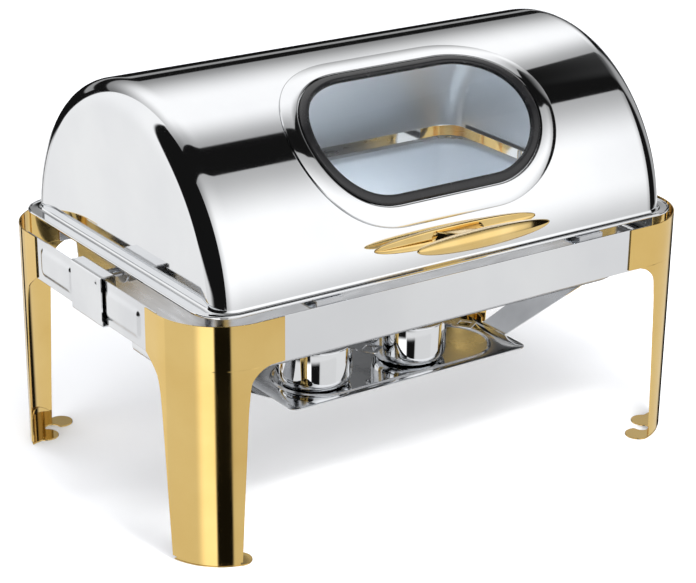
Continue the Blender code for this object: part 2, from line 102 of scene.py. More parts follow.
def makeFinish(name, finish):
    material = bpy.data.materials.new(name)
    material.use_nodes = True
    tree = material.node_tree
    surface = tree.nodes["Principled BSDF"]
    place = addNode(tree, "ShaderNodeTexCoord")
    surface.inputs["Metallic"].default_value = finish.get("metallic", 1.0)
    surface.inputs["IOR"].default_value = finish.get("ior", 1.5)
    for socket, value in finish.get("extra", {}).items():
        surface.inputs[socket].default_value = value
    # cloudy wiping marks drive the gloss and a slight change of tone
    smears = noiseOf(tree, place, finish["smearScale"], 5.0, finish.get("smearStretch", (1, 1, 1)))
    low, high = finish["roughness"]
    rough = spanOf(tree, smears, low, high)
    if "inside" in finish:
        rough = insideOf(tree, place, rough, finish["inside"])
    tree.links.new(rough, surface.inputs["Roughness"])
    tone = addNode(tree, "ShaderNodeMix", {"data_type": "RGBA"})
    tone.inputs["A"].default_value = (*finish["colour"], 1)
    tone.inputs["B"].default_value = (*finish["shade"], 1)
    tree.links.new(spanOf(tree, smears, 0.0, 1.0), tone.inputs["Factor"])
    tree.links.new(tone.outputs["Result"], surface.inputs["Base Color"])
    # a slow wave of the sheet, and fine brushing or grain on top of it
    wave = noiseOf(tree, place, finish["waveScale"], 1.0, finish.get("waveStretch", (1, 1, 1)))
    waves = addNode(tree, "ShaderNodeBump", Strength=1.0, Distance=finish["waveHeight"])
    tree.links.new(wave, waves.inputs["Height"])
    grain = noiseOf(tree, place, finish["grainScale"], 3.0, finish.get("grainStretch", (1, 1, 1)))
    grains = addNode(tree, "ShaderNodeBump", Strength=1.0, Distance=finish["grainHeight"])
    tree.links.new(grain, grains.inputs["Height"])
    tree.links.new(waves.outputs["Normal"], grains.inputs["Normal"])
    tree.links.new(grains.outputs["Normal"], surface.inputs["Normal"])
    return material


finishes = {
    "mirrorSteel": {
        "colour": (0.82, 0.83, 0.84), "shade": (0.76, 0.77, 0.79), "roughness": (0.035, 0.075),
        "smearScale": 9.0, "waveScale": 7.0, "waveHeight": 0.00025,
        "grainScale": 900.0, "grainHeight": 0.0000015,
    },
    "lidSteel": {
        "colour": (0.82, 0.83, 0.84), "shade": (0.76, 0.77, 0.79), "roughness": (0.035, 0.075),
        "inside": {"straight": 0.250, "core": 0.164, "fillet": 0.024, "roughness": 0.42},
        "smearScale": 9.0, "waveScale": 7.0, "waveHeight": 0.00025,
        "grainScale": 900.0, "grainHeight": 0.0000015,
    },
    "pressedSteel": {
        "colour": (0.80, 0.81, 0.82), "shade": (0.72, 0.73, 0.75), "roughness": (0.09, 0.17),
        "smearScale": 14.0, "waveScale": 18.0, "waveHeight": 0.0003,
        "grainScale": 700.0, "grainHeight": 0.000003,
    },
    "brushedSteel": {
        "colour": (0.66, 0.67, 0.69), "shade": (0.56, 0.57, 0.59), "roughness": (0.22, 0.36),
        "smearScale": 25.0, "smearStretch": (1, 1, 6), "waveScale": 20.0, "waveHeight": 0.0001,
        "grainScale": 160.0, "grainStretch": (1, 1, 14), "grainHeight": 0.00001,
    },
    # the pan's steel, only part metallic and pale bluish-white so the lamps brighten it: painted reflection of bright
    # surroundings in its colour, with its own smears and grain
    "panSteelPaintedReflection": {
        "colour": (0.90, 0.93, 0.97), "shade": (0.83, 0.87, 0.92), "roughness": (0.28, 0.42), "metallic": 0.30,
        "smearScale": 10.0, "waveScale": 11.0, "waveHeight": 0.0004,
        "grainScale": 500.0, "grainHeight": 0.000004,
    },
    "goldSteel": {
        "colour": (0.81, 0.58, 0.22), "shade": (0.75, 0.51, 0.17), "roughness": (0.05, 0.11),
        "smearScale": 12.0, "waveScale": 9.0, "waveHeight": 0.0003,
        "grainScale": 800.0, "grainHeight": 0.000002,
    },
    "castGold": {
        "colour": (0.84, 0.62, 0.27), "shade": (0.77, 0.53, 0.19), "roughness": (0.06, 0.13),
        "smearScale": 30.0, "waveScale": 45.0, "waveHeight": 0.00008,
        "grainScale": 900.0, "grainHeight": 0.000002,
    },
    "blackRubber": {
        "colour": (0.004, 0.004, 0.0045), "shade": (0.008, 0.008, 0.0085), "roughness": (0.20, 0.30),
        "metallic": 0.0, "smearScale": 60.0, "waveScale": 40.0, "waveHeight": 0.0001,
        "grainScale": 1500.0, "grainHeight": 0.00001,
    },
    "clearGlass": {
        "colour": (0.93, 0.97, 1.0), "shade": (0.90, 0.95, 0.98), "roughness": (0.0, 0.02),
        "metallic": 0.0, "ior": 1.45, "extra": {"Transmission Weight": 1.0},
        "smearScale": 6.0, "waveScale": 4.0, "waveHeight": 0.0001,
        "grainScale": 900.0, "grainHeight": 0.0000003,
    },
}
materials = {name: makeFinish(name, finish) for name, finish in finishes.items()}
print("materials made:", len(materials))


# ---- shape helpers ----

def arcPoints(centre, radius, start, end, steps):
    points = []
    for k in range(steps + 1):
        angle = math.radians(start + (end - start) * k / steps)
        points.append((centre[0] + radius * math.cos(angle), centre[1] + radius * math.sin(angle)))
    return points


def roundedRectangle(halfX, halfY, radius, steps=12):
    points = []
    for k, (sx, sy) in enumerate([(1, 1), (-1, 1), (-1, -1), (1, -1)]):
        centre = (sx * (halfX - radius), sy * (halfY - radius))
        points += arcPoints(centre, radius, 90 * k, 90 * k + 90, steps)
    return points


def roundedCorners(points, radius, steps=5, closed=False):
    # each corner of the path becomes a short curve between two points on its arms
    made = []
    count = len(points)
    for k, here in enumerate(points):
        if not closed and k in (0, count - 1):
            made.append(tuple(here))
            continue
        here = Vector(here)
        before, after = Vector(points[k - 1]), Vector(points[(k + 1) % count])
        back, ahead = before - here, after - here
        reach = min(radius, 0.45 * back.length, 0.45 * ahead.length)
        start, end = here + reach * back.normalized(), here + reach * ahead.normalized()
        for j in range(steps + 1):
            t = j / steps
            made.append(tuple((1 - t) ** 2 * start + 2 * t * (1 - t) * here + t * t * end))
    return made


def smoothThrough(points, perSpan):
    # a curve through the points, each a tuple of any length
    made = []
    last = len(points) - 1
    for k in range(last):
        a, b = points[max(k - 1, 0)], points[k]
        c, d = points[k + 1], points[min(k + 2, last)]
        for j in range(perSpan):
            t = j / perSpan
            made.append(tuple(
                0.5 * (2 * q + (r - p) * t + (2 * p - 5 * q + 4 * r - s) * t * t
                       + (3 * q - p - 3 * r + s) * t ** 3)
                for p, q, r, s in zip(a, b, c, d)
            ))
    return made + [tuple(points[-1])]


def addLoft(grid, rings, looped=False):
    # skin through rings of equal length, capped unless looped
    loops = [[grid.verts.new(point) for point in ring] for ring in rings]
    pairs = list(zip(loops, loops[1:] + loops[:1])) if looped else list(zip(loops, loops[1:]))
    for low, high in pairs:
        for i in range(len(low)):
            j = (i + 1) % len(low)
            grid.faces.new((low[i], low[j], high[j], high[i]))
    if not looped:
        grid.faces.new(loops[0][::-1])
        grid.faces.new(loops[-1])
    return grid


def loft(rings, looped=False):
    return addLoft(bmesh.new(), rings, looped)


def prism(outline, axis, low, high):
    at = {
        "x": lambda a, b, t: (t, a, b),
        "y": lambda a, b, t: (a, t, b),
        "z": lambda a, b, t: (a, b, t),
    }[axis]
    return loft([[at(a, b, t) for a, b in outline] for t in (low, high)])


def turned(centre, direction, profile, steps=64):
    spin = Vector(direction).normalized()
    across = spin.orthogonal().normalized()
    other = spin.cross(across)
    rings = []
    for radius, along in profile:
        ring = []
        for k in range(steps):
            angle = 2 * math.pi * k / steps
            reach = radius * (math.cos(angle) * across + math.sin(angle) * other)
            ring.append(Vector(centre) + along * spin + reach)
        rings.append(ring)
    return loft(rings)


def gather(*grids):
    # several closed shells in one mesh
    whole = bmesh.new()
    for grid in grids:
        mesh = bpy.data.meshes.new("shell")
        bmesh.ops.recalc_face_normals(grid, faces=grid.faces)
        grid.to_mesh(mesh)
        grid.free()
        whole.from_mesh(mesh)
        bpy.data.meshes.remove(mesh)
    return whole


def objectOf(name, grid):
    mesh = bpy.data.meshes.new(name)
    bmesh.ops.remove_doubles(grid, verts=grid.verts, dist=1e-7)
    bmesh.ops.recalc_face_normals(grid, faces=grid.faces)
    grid.to_mesh(mesh)
    grid.free()
    obj = bpy.data.objects.new(name, mesh)
    bpy.context.scene.collection.objects.link(obj)
    return obj


def cutAway(obj, cutterGrid):
    cutter = objectOf("cutter", cutterGrid)
    modifier = obj.modifiers.new("cut", "BOOLEAN")
    modifier.operation = "DIFFERENCE"
    modifier.solver = "EXACT"
    modifier.object = cutter
    bpy.context.view_layer.update()
    graph = bpy.context.evaluated_depsgraph_get()
    mesh = bpy.data.meshes.new_from_object(obj.evaluated_get(graph))
    obj.modifiers.clear()
    obj.data = mesh
    bpy.data.objects.remove(cutter)
    return obj


def finishPiece(obj, body, nodes, finish, edge=0.0, angle=32, segments=2, inFrame=False):
    # moves the mesh to its place in the frame, rounds its edges and ties it to its body
    if not inFrame:
        obj.data.transform(Matrix.Translation((0, dish["middleY"], 0)))
    obj.data.materials.clear()
    obj.data.materials.append(materials[finish])
    obj.data.shade_smooth()
    obj.data.set_sharp_from_angle(angle=math.radians(angle))
    if edge:
        bevel = obj.modifiers.new("softEdges", "BEVEL")
        bevel.width = edge
        bevel.segments = segments
        bevel.limit_method = "ANGLE"
        bevel.angle_limit = math.radians(angle)
        bevel.miter_outer = "MITER_ARC"
        weighted = obj.modifiers.new("evenShading", "WEIGHTED_NORMAL")
        weighted.keep_sharp = True
    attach(obj, body)
    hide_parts(*nodes)
    return obj


# Legs: L-shaped sheet with a round outer corner, each with an arched foot inside it.
leg = {
    "corner": 0.070,
    "cornerSteps": 48,
    "edge": 0.0003,
    "top": [(0.2055, 0.0980, 0.0900), (0.250, 0.0980, 0.0900)],
    "shape": [  # height, width of the front flange, width of the side flange
        (0.0045, 0.0510, 0.0525), (0.0600, 0.0535, 0.0560), (0.1210, 0.0565, 0.0600),
        (0.1600, 0.0585, 0.0630), (0.1755, 0.0600, 0.0650), (0.1860, 0.0612, 0.0680),
        (0.1920, 0.0632, 0.0720), (0.1980, 0.0685, 0.0790), (0.2025, 0.0755, 0.0850),
        (0.2050, 0.0830, 0.0885),
    ],
}


def cornerPath(front, side, inset):
    # equal steps from the front flange's edge, round the bend, to the side flange's edge
    corner, steps = leg["corner"], leg["cornerSteps"]
    radius = corner - inset
    bend = radius * math.pi / 2
    first = corner - front if front > corner else radius * math.asin((corner - front) / radius)
    last = bend + side - corner if side > corner else bend - radius * math.asin((corner - side) / radius)
    points = []
    for k in range(steps + 1):
        run = first + (last - first) * k / steps
        turn = min(max(run, 0), bend) / radius
        u = corner - radius * math.sin(turn) - min(run, 0)
        points.append((u, corner - radius * math.cos(turn) + max(run - bend, 0)))
    return points


def atCorner(sx, sy, u, v, z):
    return (sx * (dish["length"] / 2 - u), sy * (dish["width"] / 2 - v), z)


def buildLeg(name, sx, sy):
    rings = []
    for height, front, side in smoothThrough(leg["shape"], 6) + leg["top"]:
        outer = cornerPath(front, side, 0)
        inner = cornerPath(front, side, dish["sheet"])
        rings.append([atCorner(sx, sy, u, v, height) for u, v in outer + inner[::-1]])
    return finishPiece(objectOf(name, loft(rings)), "stand", [name.lower()], "goldSteel", leg["edge"])


foot = {
    "inset": 0.0012,
    "tabRadius": 0.0135,
    "tabReach": 0.0545,
    "plate": 0.0015,
    "notch": 0.0078,
    "wallHeight": 0.010,
    "archHeight": 0.016,
}


def buildFoot(name, sx, sy):
    inset, tabRadius, reach = foot["inset"], foot["tabRadius"], foot["tabReach"]
    outline = cornerPath(reach, 0.0520, inset)[::-1]
    outline += arcPoints((reach, outline[-1][1] + tabRadius), tabRadius, 275, 478, 30)
    outline += arcPoints((0.0400, 0.0262), foot["notch"], -20, -180, 18)
    outline += arcPoints((0.0260, 0.0390), tabRadius, -60, 135, 28)
    plate = loft([[atCorner(sx, sy, u, v, z) for u, v in outline] for z in (0, foot["plate"])])
    outer = cornerPath(0.050, 0.050, 0.0016)
    inner = cornerPath(0.050, 0.050, 0.0031)
    rings = []
    for k, (far, near) in enumerate(zip(outer, inner)):
        top = foot["wallHeight"] + foot["archHeight"] * math.sin(math.pi * k / (len(outer) - 1))
        rings.append([
            atCorner(sx, sy, *far, 0.0008), atCorner(sx, sy, *near, 0.0008),
            atCorner(sx, sy, *near, top), atCorner(sx, sy, *far, top),
        ])
    whole = gather(plate, loft(rings))
    return finishPiece(objectOf(name, whole), "stand", [name.lower()], "goldSteel", 0.0004)


for front, sy in (("front", -1), ("back", 1)):
    for side, sx in sides.items():
        buildLeg(f"Leg_{front}_{side}", sx, sy)
        buildFoot(f"Foot_{front}_{side}", sx, sy)
print("legs and feet made")


# Aprons and side panels: thin polished strips with a bent lip at the bottom.
apron = {"halfLength": 0.2385, "lip": 0.008, "edge": 0.0004}


def buildApron(name, sy, lip):
    outer = dish["width"] / 2 - dish["sheet"] - dish["gap"]
    inner = outer - dish["sheet"]
    low, high = dish["apronBottom"], dish["frameTop"]
    outline = [(outer, low), (outer, high), (inner, high), (inner, low)]
    if lip:
        outline[3:] = [(inner, low + dish["sheet"]), (outer - lip, low + dish["sheet"]), (outer - lip, low)]
    outline = [(sy * y, z) for y, z in outline]
    grid = prism(outline, "x", -apron["halfLength"], apron["halfLength"])
    finishPiece(objectOf(name, grid), "stand", [name.lower()], "mirrorSteel", apron["edge"])


buildApron("Apron_front", -1, apron["lip"])
buildApron("Apron_back", 1, 0)

panel = {
    "halfWidth": 0.1315,
    "lipTo": 0.2995,
    "bend": 0.0012,
    "padMiddle": 0.0685,
    "padHalf": (0.0355, 0.0165),
    "padHeight": 0.2275,
    "padCorner": 0.0090,
    "padRise": 0.0021,
    "padSlope": 0.0068,
}


def padRise(y, z):
    # a soft raised rounded rectangle on each side of the middle
    halfY, halfZ = panel["padHalf"]
    corner = panel["padCorner"]
    awayY = abs(abs(y) - panel["padMiddle"]) - (halfY - corner)
    awayZ = abs(z - panel["padHeight"]) - (halfZ - corner)
    outside = math.hypot(max(awayY, 0), max(awayZ, 0)) + min(max(awayY, awayZ), 0) - corner
    share = min(max(-outside / panel["padSlope"], 0), 1)
    return panel["padRise"] * share * share * (3 - 2 * share)


def buildSidePanel(name, sx):
    outer = dish["length"] / 2 - dish["sheet"] - dish["gap"]
    low, high, sheet, bend = dish["apronBottom"], dish["frameTop"], dish["sheet"], panel["bend"]
    heights = [high - (high - low - bend) * k / 44 for k in range(45)]
    skin = [(outer, z, -1.0) for z in heights]  # x, z and which way the sheet's inside lies
    skin += [(x, z, 0.0) for x, z in arcPoints((outer - bend, low + bend), bend, -15, -90, 5)]
    skin.append((panel["lipTo"], low, 0.0))
    back = [(panel["lipTo"], low + sheet, 0.0), (outer - sheet, low + sheet, 0.0)]
    back += [(outer - sheet, z, -1.0) for z in heights[::-1] if z > low + sheet + 0.0002]
    rings = []
    steps = 260
    for k in range(steps + 1):
        y = panel["halfWidth"] * (2 * k / steps - 1)
        rings.append([(sx * (x + padRise(y, z) * (side != 0)), y, z) for x, z, side in skin + back])
    finishPiece(objectOf(name, loft(rings)), "stand", [name.lower()], "pressedSteel")


saddle = {
    "half": 0.031,
    "outline": [
        (0.2955, 0.2260), (0.2970, 0.2260), *arcPoints((0.2984, 0.2502), 0.0014, 180, 90, 6),
        *arcPoints((0.3091, 0.2499), 0.0017, 90, 0, 6), (0.3108, 0.2024), (0.3030, 0.2024), (0.3030, 0.2010),
        *arcPoints((0.3096, 0.2036), 0.0026, -90, 0, 8), *arcPoints((0.3090, 0.2498), 0.0032, 0, 90, 10),
        *arcPoints((0.2983, 0.2502), 0.0028, 90, 180, 8),
    ],
    "edge": 0.00035,
    "dimple": (0.3148, -0.0215, 0.2452),
    "dimpleRadius": 0.0036,
    "pinHole": 0.0033,
}


def buildSaddle(name, sx):
    obj = objectOf(name, prism([(sx * x, z) for x, z in saddle["outline"]], "y", -saddle["half"], saddle["half"]))
    x, y, z = saddle["dimple"]
    ball = bmesh.new()
    bmesh.ops.create_uvsphere(ball, u_segments=24, v_segments=12, radius=saddle["dimpleRadius"])
    bmesh.ops.translate(ball, verts=ball.verts, vec=(sx * x, y, z))
    cutAway(obj, ball)
    cutAway(obj, turned((sx * 0.290, 0, dish["pivotHeight"]), (sx, 0, 0),
                        [(saddle["pinHole"], 0), (saddle["pinHole"], 0.012)], 32))
    finishPiece(obj, "stand", [name.lower()], "pressedSteel", saddle["edge"])


frontRest = {
    "x": 0.160,
    "halfWidth": 0.015,
    "edge": 0.0003,
    "outline": [
        (0.2000, 0.2150), (0.1985, 0.2150), (0.1985, 0.2440), (0.1710, 0.2440),
        (0.1710, 0.2457), (0.1770, 0.2457), (0.1770, 0.2477), (0.1735, 0.2477),
        (0.1735, 0.2492), (0.1785, 0.2492), (0.1785, 0.2457), (0.1985, 0.2457),
        (0.1985, 0.2535), (0.1900, 0.2535), (0.1900, 0.2550), (0.2000, 0.2550),
    ],
}


def buildFrontRest(name, x):
    outline = [(-y, z) for y, z in frontRest["outline"]]
    grid = prism(outline, "x", x - frontRest["halfWidth"], x + frontRest["halfWidth"])
    finishPiece(objectOf(name, grid), "stand", [name.lower()], "brushedSteel", frontRest["edge"])


pivotBlock = {"low": (0.2549, -0.010, 0.2330), "high": (0.2698, 0.010, 0.2456), "hole": 0.0033, "edge": 0.0005}


def buildPivotBlock(name, sx):
    low, high = pivotBlock["low"], pivotBlock["high"]
    outline = [(sx * low[0], low[1]), (sx * high[0], low[1]), (sx * high[0], high[1]), (sx * low[0], high[1])]
    obj = objectOf(name, prism(outline, "z", low[2], high[2]))
    hole = pivotBlock["hole"]
    cutAway(obj, turned((sx * 0.250, 0, dish["pivotHeight"]), (sx, 0, 0), [(hole, 0), (hole, 0.025)], 32))
    finishPiece(obj, "stand", [name.lower()], "brushedSteel", pivotBlock["edge"])


for side, sx in sides.items():
    buildSidePanel(f"Side_panel_{side}", sx)
    buildSaddle(f"Hinge_saddle_{side}", sx)
    buildFrontRest(f"Front_rest_{side}", sx * frontRest["x"])
    buildPivotBlock(f"Pivot_block_{side}", sx)
print("aprons, panels, saddles, rests and pivot blocks made")


# Pans: drawn sheet with a rounded floor edge and a flat rim.
waterPan = {
    "profile": [  # half length, half width, corner, height; inside first, then outside
        (0.2345, 0.1320, 0.014, 0.1730), (0.2425, 0.1400, 0.018, 0.17318), (0.2462, 0.1437, 0.0200, 0.1742),
        (0.2488, 0.1463, 0.0216, 0.1760), (0.2500, 0.1475, 0.0223, 0.1790), (0.2510, 0.1485, 0.0230, 0.1950),
        (0.2532, 0.1507, 0.0240, 0.2430), (0.2538, 0.1514, 0.0243, 0.2462), (0.2552, 0.1530, 0.0250, 0.2470),
        (0.2676, 0.1761, 0.0297, 0.2470), (0.2680, 0.1765, 0.0300, 0.2465), (0.2676, 0.1761, 0.0297, 0.2460),
        (0.2556, 0.1532, 0.0254, 0.2460), (0.2546, 0.1521, 0.0250, 0.2440), (0.2520, 0.1495, 0.0240, 0.1950),
        (0.2510, 0.1485, 0.0233, 0.1785), (0.2496, 0.1471, 0.0222, 0.1748), (0.2468, 0.1443, 0.0206, 0.1727),
        (0.2430, 0.1405, 0.0180, 0.1720), (0.2345, 0.1320, 0.0140, 0.1720),
    ],
}
foodPan = {
    "profile": [
        (0.2180, 0.1155, 0.0180, 0.1840), (0.2290, 0.1265, 0.0250, 0.18425), (0.2350, 0.1325, 0.0300, 0.1858),
        (0.2388, 0.1363, 0.0322, 0.1892), (0.2408, 0.1383, 0.0334, 0.1940), (0.2428, 0.1403, 0.0343, 0.2050),
        (0.2484, 0.1459, 0.0375, 0.2430), (0.2492, 0.1467, 0.0380, 0.2462), (0.2504, 0.1479, 0.0388, 0.2479),
        (0.2522, 0.1497, 0.0396, 0.2483), (0.2645, 0.1620, 0.0447, 0.2483), (0.2650, 0.1625, 0.0450, 0.2478),
        (0.2645, 0.1620, 0.0447, 0.2473), (0.2526, 0.1501, 0.0400, 0.2473), (0.2510, 0.1485, 0.0392, 0.2464),
        (0.2502, 0.1477, 0.0386, 0.2440), (0.2438, 0.1413, 0.0353, 0.2040), (0.2418, 0.1393, 0.0344, 0.1930),
        (0.2396, 0.1371, 0.0330, 0.1880), (0.2356, 0.1331, 0.0306, 0.1845), (0.2290, 0.1265, 0.0250, 0.1830),
        (0.2180, 0.1155, 0.0180, 0.1830),
    ],
}


def buildPan(name, profile, body, finish):
    rings = [
        [(x, y, height) for x, y in roundedRectangle(halfX, halfY, corner, 16)]
        for halfX, halfY, corner, height in profile
    ]
    finishPiece(objectOf(name, loft(rings)), body, [name.lower()], finish, angle=50)


buildPan("Water_pan", waterPan["profile"], "stand", "brushedSteel")
buildPan("Food_pan", foodPan["profile"], "food", "panSteelPaintedReflection")
print("pans made")


# Geometry Nodes helpers: small functions that add one node and return its output.
def newTree(name, inputs):
    tree = bpy.data.node_groups.new(name, "GeometryNodeTree")
    tree.interface.new_socket("Geometry", in_out="INPUT", socket_type="NodeSocketGeometry")
    for label, value in inputs.items():
        kind = {int: "Int", float: "Float"}.get(type(value), "Material")
        socket = tree.interface.new_socket(label, in_out="INPUT", socket_type="NodeSocket" + kind)
        if kind != "Material":
            socket.default_value = value
    tree.interface.new_socket("Geometry", in_out="OUTPUT", socket_type="NodeSocketGeometry")
    return tree, tree.nodes.new("NodeGroupInput").outputs


def wired(tree, kind, output, settings=None, **sources):
    # a node whose inputs come from sockets or plain numbers
    node = tree.nodes.new(kind)
    for key, value in (settings or {}).items():
        setattr(node, key, value)
    for key, value in sources.items():
        numbered = key[0] == "i" and key[1:].isdigit()
        target = node.inputs[int(key[1:]) if numbered else key.replace("_", " ")]
        if isinstance(value, bpy.types.NodeSocket):
            tree.links.new(value, target)
        else:
            target.default_value = value
    return node.outputs[output]


def mathOf(tree, operation, a, b=0.0):
    return wired(tree, "ShaderNodeMath", 0, {"operation": operation}, i0=a, i1=b)


def closeTree(tree, geometry, material):
    real = wired(tree, "GeometryNodeRealizeInstances", 0, Geometry=geometry)
    coated = wired(tree, "GeometryNodeSetMaterial", 0, Geometry=real, Material=material)
    tree.links.new(coated, tree.nodes.new("NodeGroupOutput").inputs["Geometry"])


def runTree(tree, name, values, start=None):
    # runs the tree on a start mesh and keeps the plain mesh it makes
    obj = bpy.data.objects.new(name, start or bpy.data.meshes.new(name))
    bpy.context.scene.collection.objects.link(obj)
    modifier = obj.modifiers.new(tree.name, "NODES")
    modifier.node_group = tree
    for item in tree.interface.items_tree:
        if item.item_type == "SOCKET" and item.in_out == "INPUT" and item.name in values:
            modifier[item.identifier] = values[item.name]
    bpy.context.view_layer.update()
    graph = bpy.context.evaluated_depsgraph_get()
    mesh = bpy.data.meshes.new_from_object(obj.evaluated_get(graph))
    obj.modifiers.clear()
    obj.data = mesh
    mesh.name = name
    return obj


# Lid: half a drum with rounded ends, made by a rule from its sizes.
lid = {
    "Radius": 0.188,
    "Half Length": 0.274,
    "Fillet": 0.024,
    "Foot Height": 0.2553,
    "Pivot Height": 0.242,
    "Columns": 211,
    "Rows": 169,
}
lidWall = {"sheet": 0.001, "opening": (0.1370, 0.0780), "screwHole": 0.0025}
window = {
    "tilt": math.radians(48.3),
    "frameOuter": (0.1550, 0.1000),
    "gasketOuter": (0.1362, 0.0772),
    "retainerOuter": (0.1500, 0.0915),
    "steps": 48,
}
handlePlace = {"tilt": math.radians(12.8), "standoff": 0.045, "screwX": 0.012}


def drumTree():
    tree, given = newTree("rollingDrum", {**lid, "Material": None})
    radius, halfLength, fillet = given["Radius"], given["Half Length"], given["Fillet"]
    quarter = math.pi / 2
    base = mathOf(tree, "SUBTRACT", given["Foot Height"], given["Pivot Height"])
    straight = mathOf(tree, "SUBTRACT", halfLength, fillet)
    turn = mathOf(tree, "MULTIPLY", fillet, quarter)
    flat = mathOf(tree, "SUBTRACT", mathOf(tree, "SUBTRACT", radius, fillet), base)
    reachOut = mathOf(tree, "ADD", mathOf(tree, "ADD", straight, turn), flat)
    grid = wired(
        tree, "GeometryNodeMeshGrid", 0, Size_X=mathOf(tree, "MULTIPLY", reachOut, 2.0), Size_Y=1.0,
        Vertices_X=given["Columns"], Vertices_Y=given["Rows"],
    )
    place = tree.nodes.new("ShaderNodeSeparateXYZ")
    tree.links.new(tree.nodes.new("GeometryNodeInputPosition").outputs[0], place.inputs[0])
    along = mathOf(tree, "ABSOLUTE", place.outputs["X"])
    side = mathOf(tree, "SIGN", place.outputs["X"])
    # along the straight, then round the fillet, then down the flat end
    past = mathOf(tree, "SUBTRACT", along, straight)
    bend = mathOf(tree, "MINIMUM", mathOf(tree, "MAXIMUM", mathOf(tree, "DIVIDE", past, fillet), 0.0), quarter)
    down = mathOf(tree, "MAXIMUM", mathOf(tree, "SUBTRACT", past, turn), 0.0)
    run = mathOf(tree, "MINIMUM", along, straight)
    x = mathOf(tree, "ADD", run, mathOf(tree, "MULTIPLY", fillet, mathOf(tree, "SINE", bend)))
    drop = mathOf(tree, "MULTIPLY", fillet, mathOf(tree, "SUBTRACT", 1.0, mathOf(tree, "COSINE", bend)))
    reach = mathOf(tree, "SUBTRACT", mathOf(tree, "SUBTRACT", radius, drop), down)
    first = mathOf(tree, "ARCSINE", mathOf(tree, "MINIMUM", mathOf(tree, "DIVIDE", base, reach), 1.0))
    span = mathOf(tree, "SUBTRACT", math.pi, mathOf(tree, "MULTIPLY", first, 2.0))
    share = mathOf(tree, "ADD", place.outputs["Y"], 0.5)
    angle = mathOf(tree, "ADD", first, mathOf(tree, "MULTIPLY", span, share))
    y = mathOf(tree, "MULTIPLY", mathOf(tree, "MULTIPLY", reach, mathOf(tree, "COSINE", angle)), -1.0)
    z = mathOf(tree, "ADD", given["Pivot Height"], mathOf(tree, "MULTIPLY", reach, mathOf(tree, "SINE", angle)))
    spot = wired(tree, "ShaderNodeCombineXYZ", 0, X=mathOf(tree, "MULTIPLY", side, x), Y=y, Z=z)
    moved = wired(tree, "GeometryNodeSetPosition", 0, Geometry=grid, Position=spot)
    merged = wired(tree, "GeometryNodeMergeByDistance", 0, Geometry=moved, Distance=0.00001)
    closeTree(tree, merged, given["Material"])
    return tree


def onDrum(x, along, radius):
    # a point at an arc distance above the window's middle line
    angle = window["tilt"] + along / lid["Radius"]
    return (x, -radius * math.cos(angle), lid["Pivot Height"] + radius * math.sin(angle))


def ovalRing(halfX, halfArc, radius):
    steps = window["steps"]
    straight = halfX - halfArc
    points = arcPoints((straight, 0), halfArc, -90, 90, steps)
    points += arcPoints((-straight, 0), halfArc, 90, 270, steps)
    return [onDrum(x, along, radius) for x, along in points]


def handlePoint(x, up, out, origin=True):
    tilt = handlePlace["tilt"]
    normal = Vector((0, -math.cos(tilt), math.sin(tilt)))
    rise = Vector((0, math.sin(tilt), math.cos(tilt)))
    start = Vector((0, 0, lid["Pivot Height"])) + lid["Radius"] * normal if origin else Vector()
    return start + Vector((x, 0, 0)) + up * rise + out * normal


flange = [  # half length, half width, corner, height: up the drum's foot, out, round the bead, back under
    (0.27412, 0.18735, 0.02405, 0.2600), (0.27435, 0.18765, 0.0242, 0.2586), (0.27500, 0.18835, 0.0247, 0.2575),
    (0.27600, 0.18930, 0.0256, 0.2569), (0.27720, 0.19020, 0.0266, 0.2568), (0.2861, 0.1938, 0.0326, 0.2568),
    (0.2864, 0.1941, 0.0329, 0.2573), (0.28685, 0.19455, 0.0334, 0.2578), (0.28745, 0.19515, 0.0340, 0.25795),
    (0.28805, 0.19575, 0.0345, 0.2577), (0.28845, 0.19615, 0.0349, 0.2571), (0.28850, 0.19620, 0.0350, 0.2562),
    (0.28830, 0.19600, 0.0348, 0.2556), (0.28780, 0.19550, 0.0343, 0.2553), (0.2868, 0.1945, 0.0333, 0.25535),
    (0.2863, 0.1940, 0.0328, 0.2557), (0.2730, 0.1865, 0.0232, 0.2557), (0.2730, 0.1863, 0.0232, 0.2600),
]


def buildLid():
    obj = runTree(drumTree(), "Lid_drum", {**lid, "Material": materials["lidSteel"]})
    grid = bmesh.new()
    grid.from_mesh(obj.data)
    bmesh.ops.remove_doubles(grid, verts=grid.verts, dist=1e-5)
    bmesh.ops.recalc_face_normals(grid, faces=grid.faces)
    top = max(grid.faces, key=lambda face: face.calc_center_median().z)
    if top.normal.z < 0:
        bmesh.ops.reverse_faces(grid, faces=grid.faces)
    grid.to_mesh(obj.data)
    grid.free()
    wall = obj.modifiers.new("wall", "SOLIDIFY")
    wall.thickness = lidWall["sheet"]
    wall.offset = -1
    bpy.context.view_layer.update()
    mesh = bpy.data.meshes.new_from_object(obj.evaluated_get(bpy.context.evaluated_depsgraph_get()))
    obj.modifiers.clear()
    obj.data = mesh
    cutAway(obj, loft([ovalRing(*lidWall["opening"], r) for r in (0.176, 0.225)]))
    for x in (-handlePlace["screwX"], handlePlace["screwX"]):
        cutAway(obj, turned(handlePoint(x, 0, -0.010), handlePoint(0, 0, 1, origin=False),
                            [(lidWall["screwHole"], 0), (lidWall["screwHole"], 0.020)], 24))
    whole = bmesh.new()
    whole.from_mesh(obj.data)
    rim = loft([[(x, y, height) for x, y in roundedRectangle(halfX, halfY, corner, 20)]
                for halfX, halfY, corner, height in flange], looped=True)
    bmesh.ops.recalc_face_normals(rim, faces=rim.faces)
    rimMesh = bpy.data.meshes.new("rim")
    rim.to_mesh(rimMesh)
    rim.free()
    whole.from_mesh(rimMesh)
    bpy.data.meshes.remove(rimMesh)
    whole.to_mesh(obj.data)
    whole.free()
    finishPiece(obj, "lid", ["lid_shell"], "lidSteel", angle=28)


buildLid()
print("lid made")


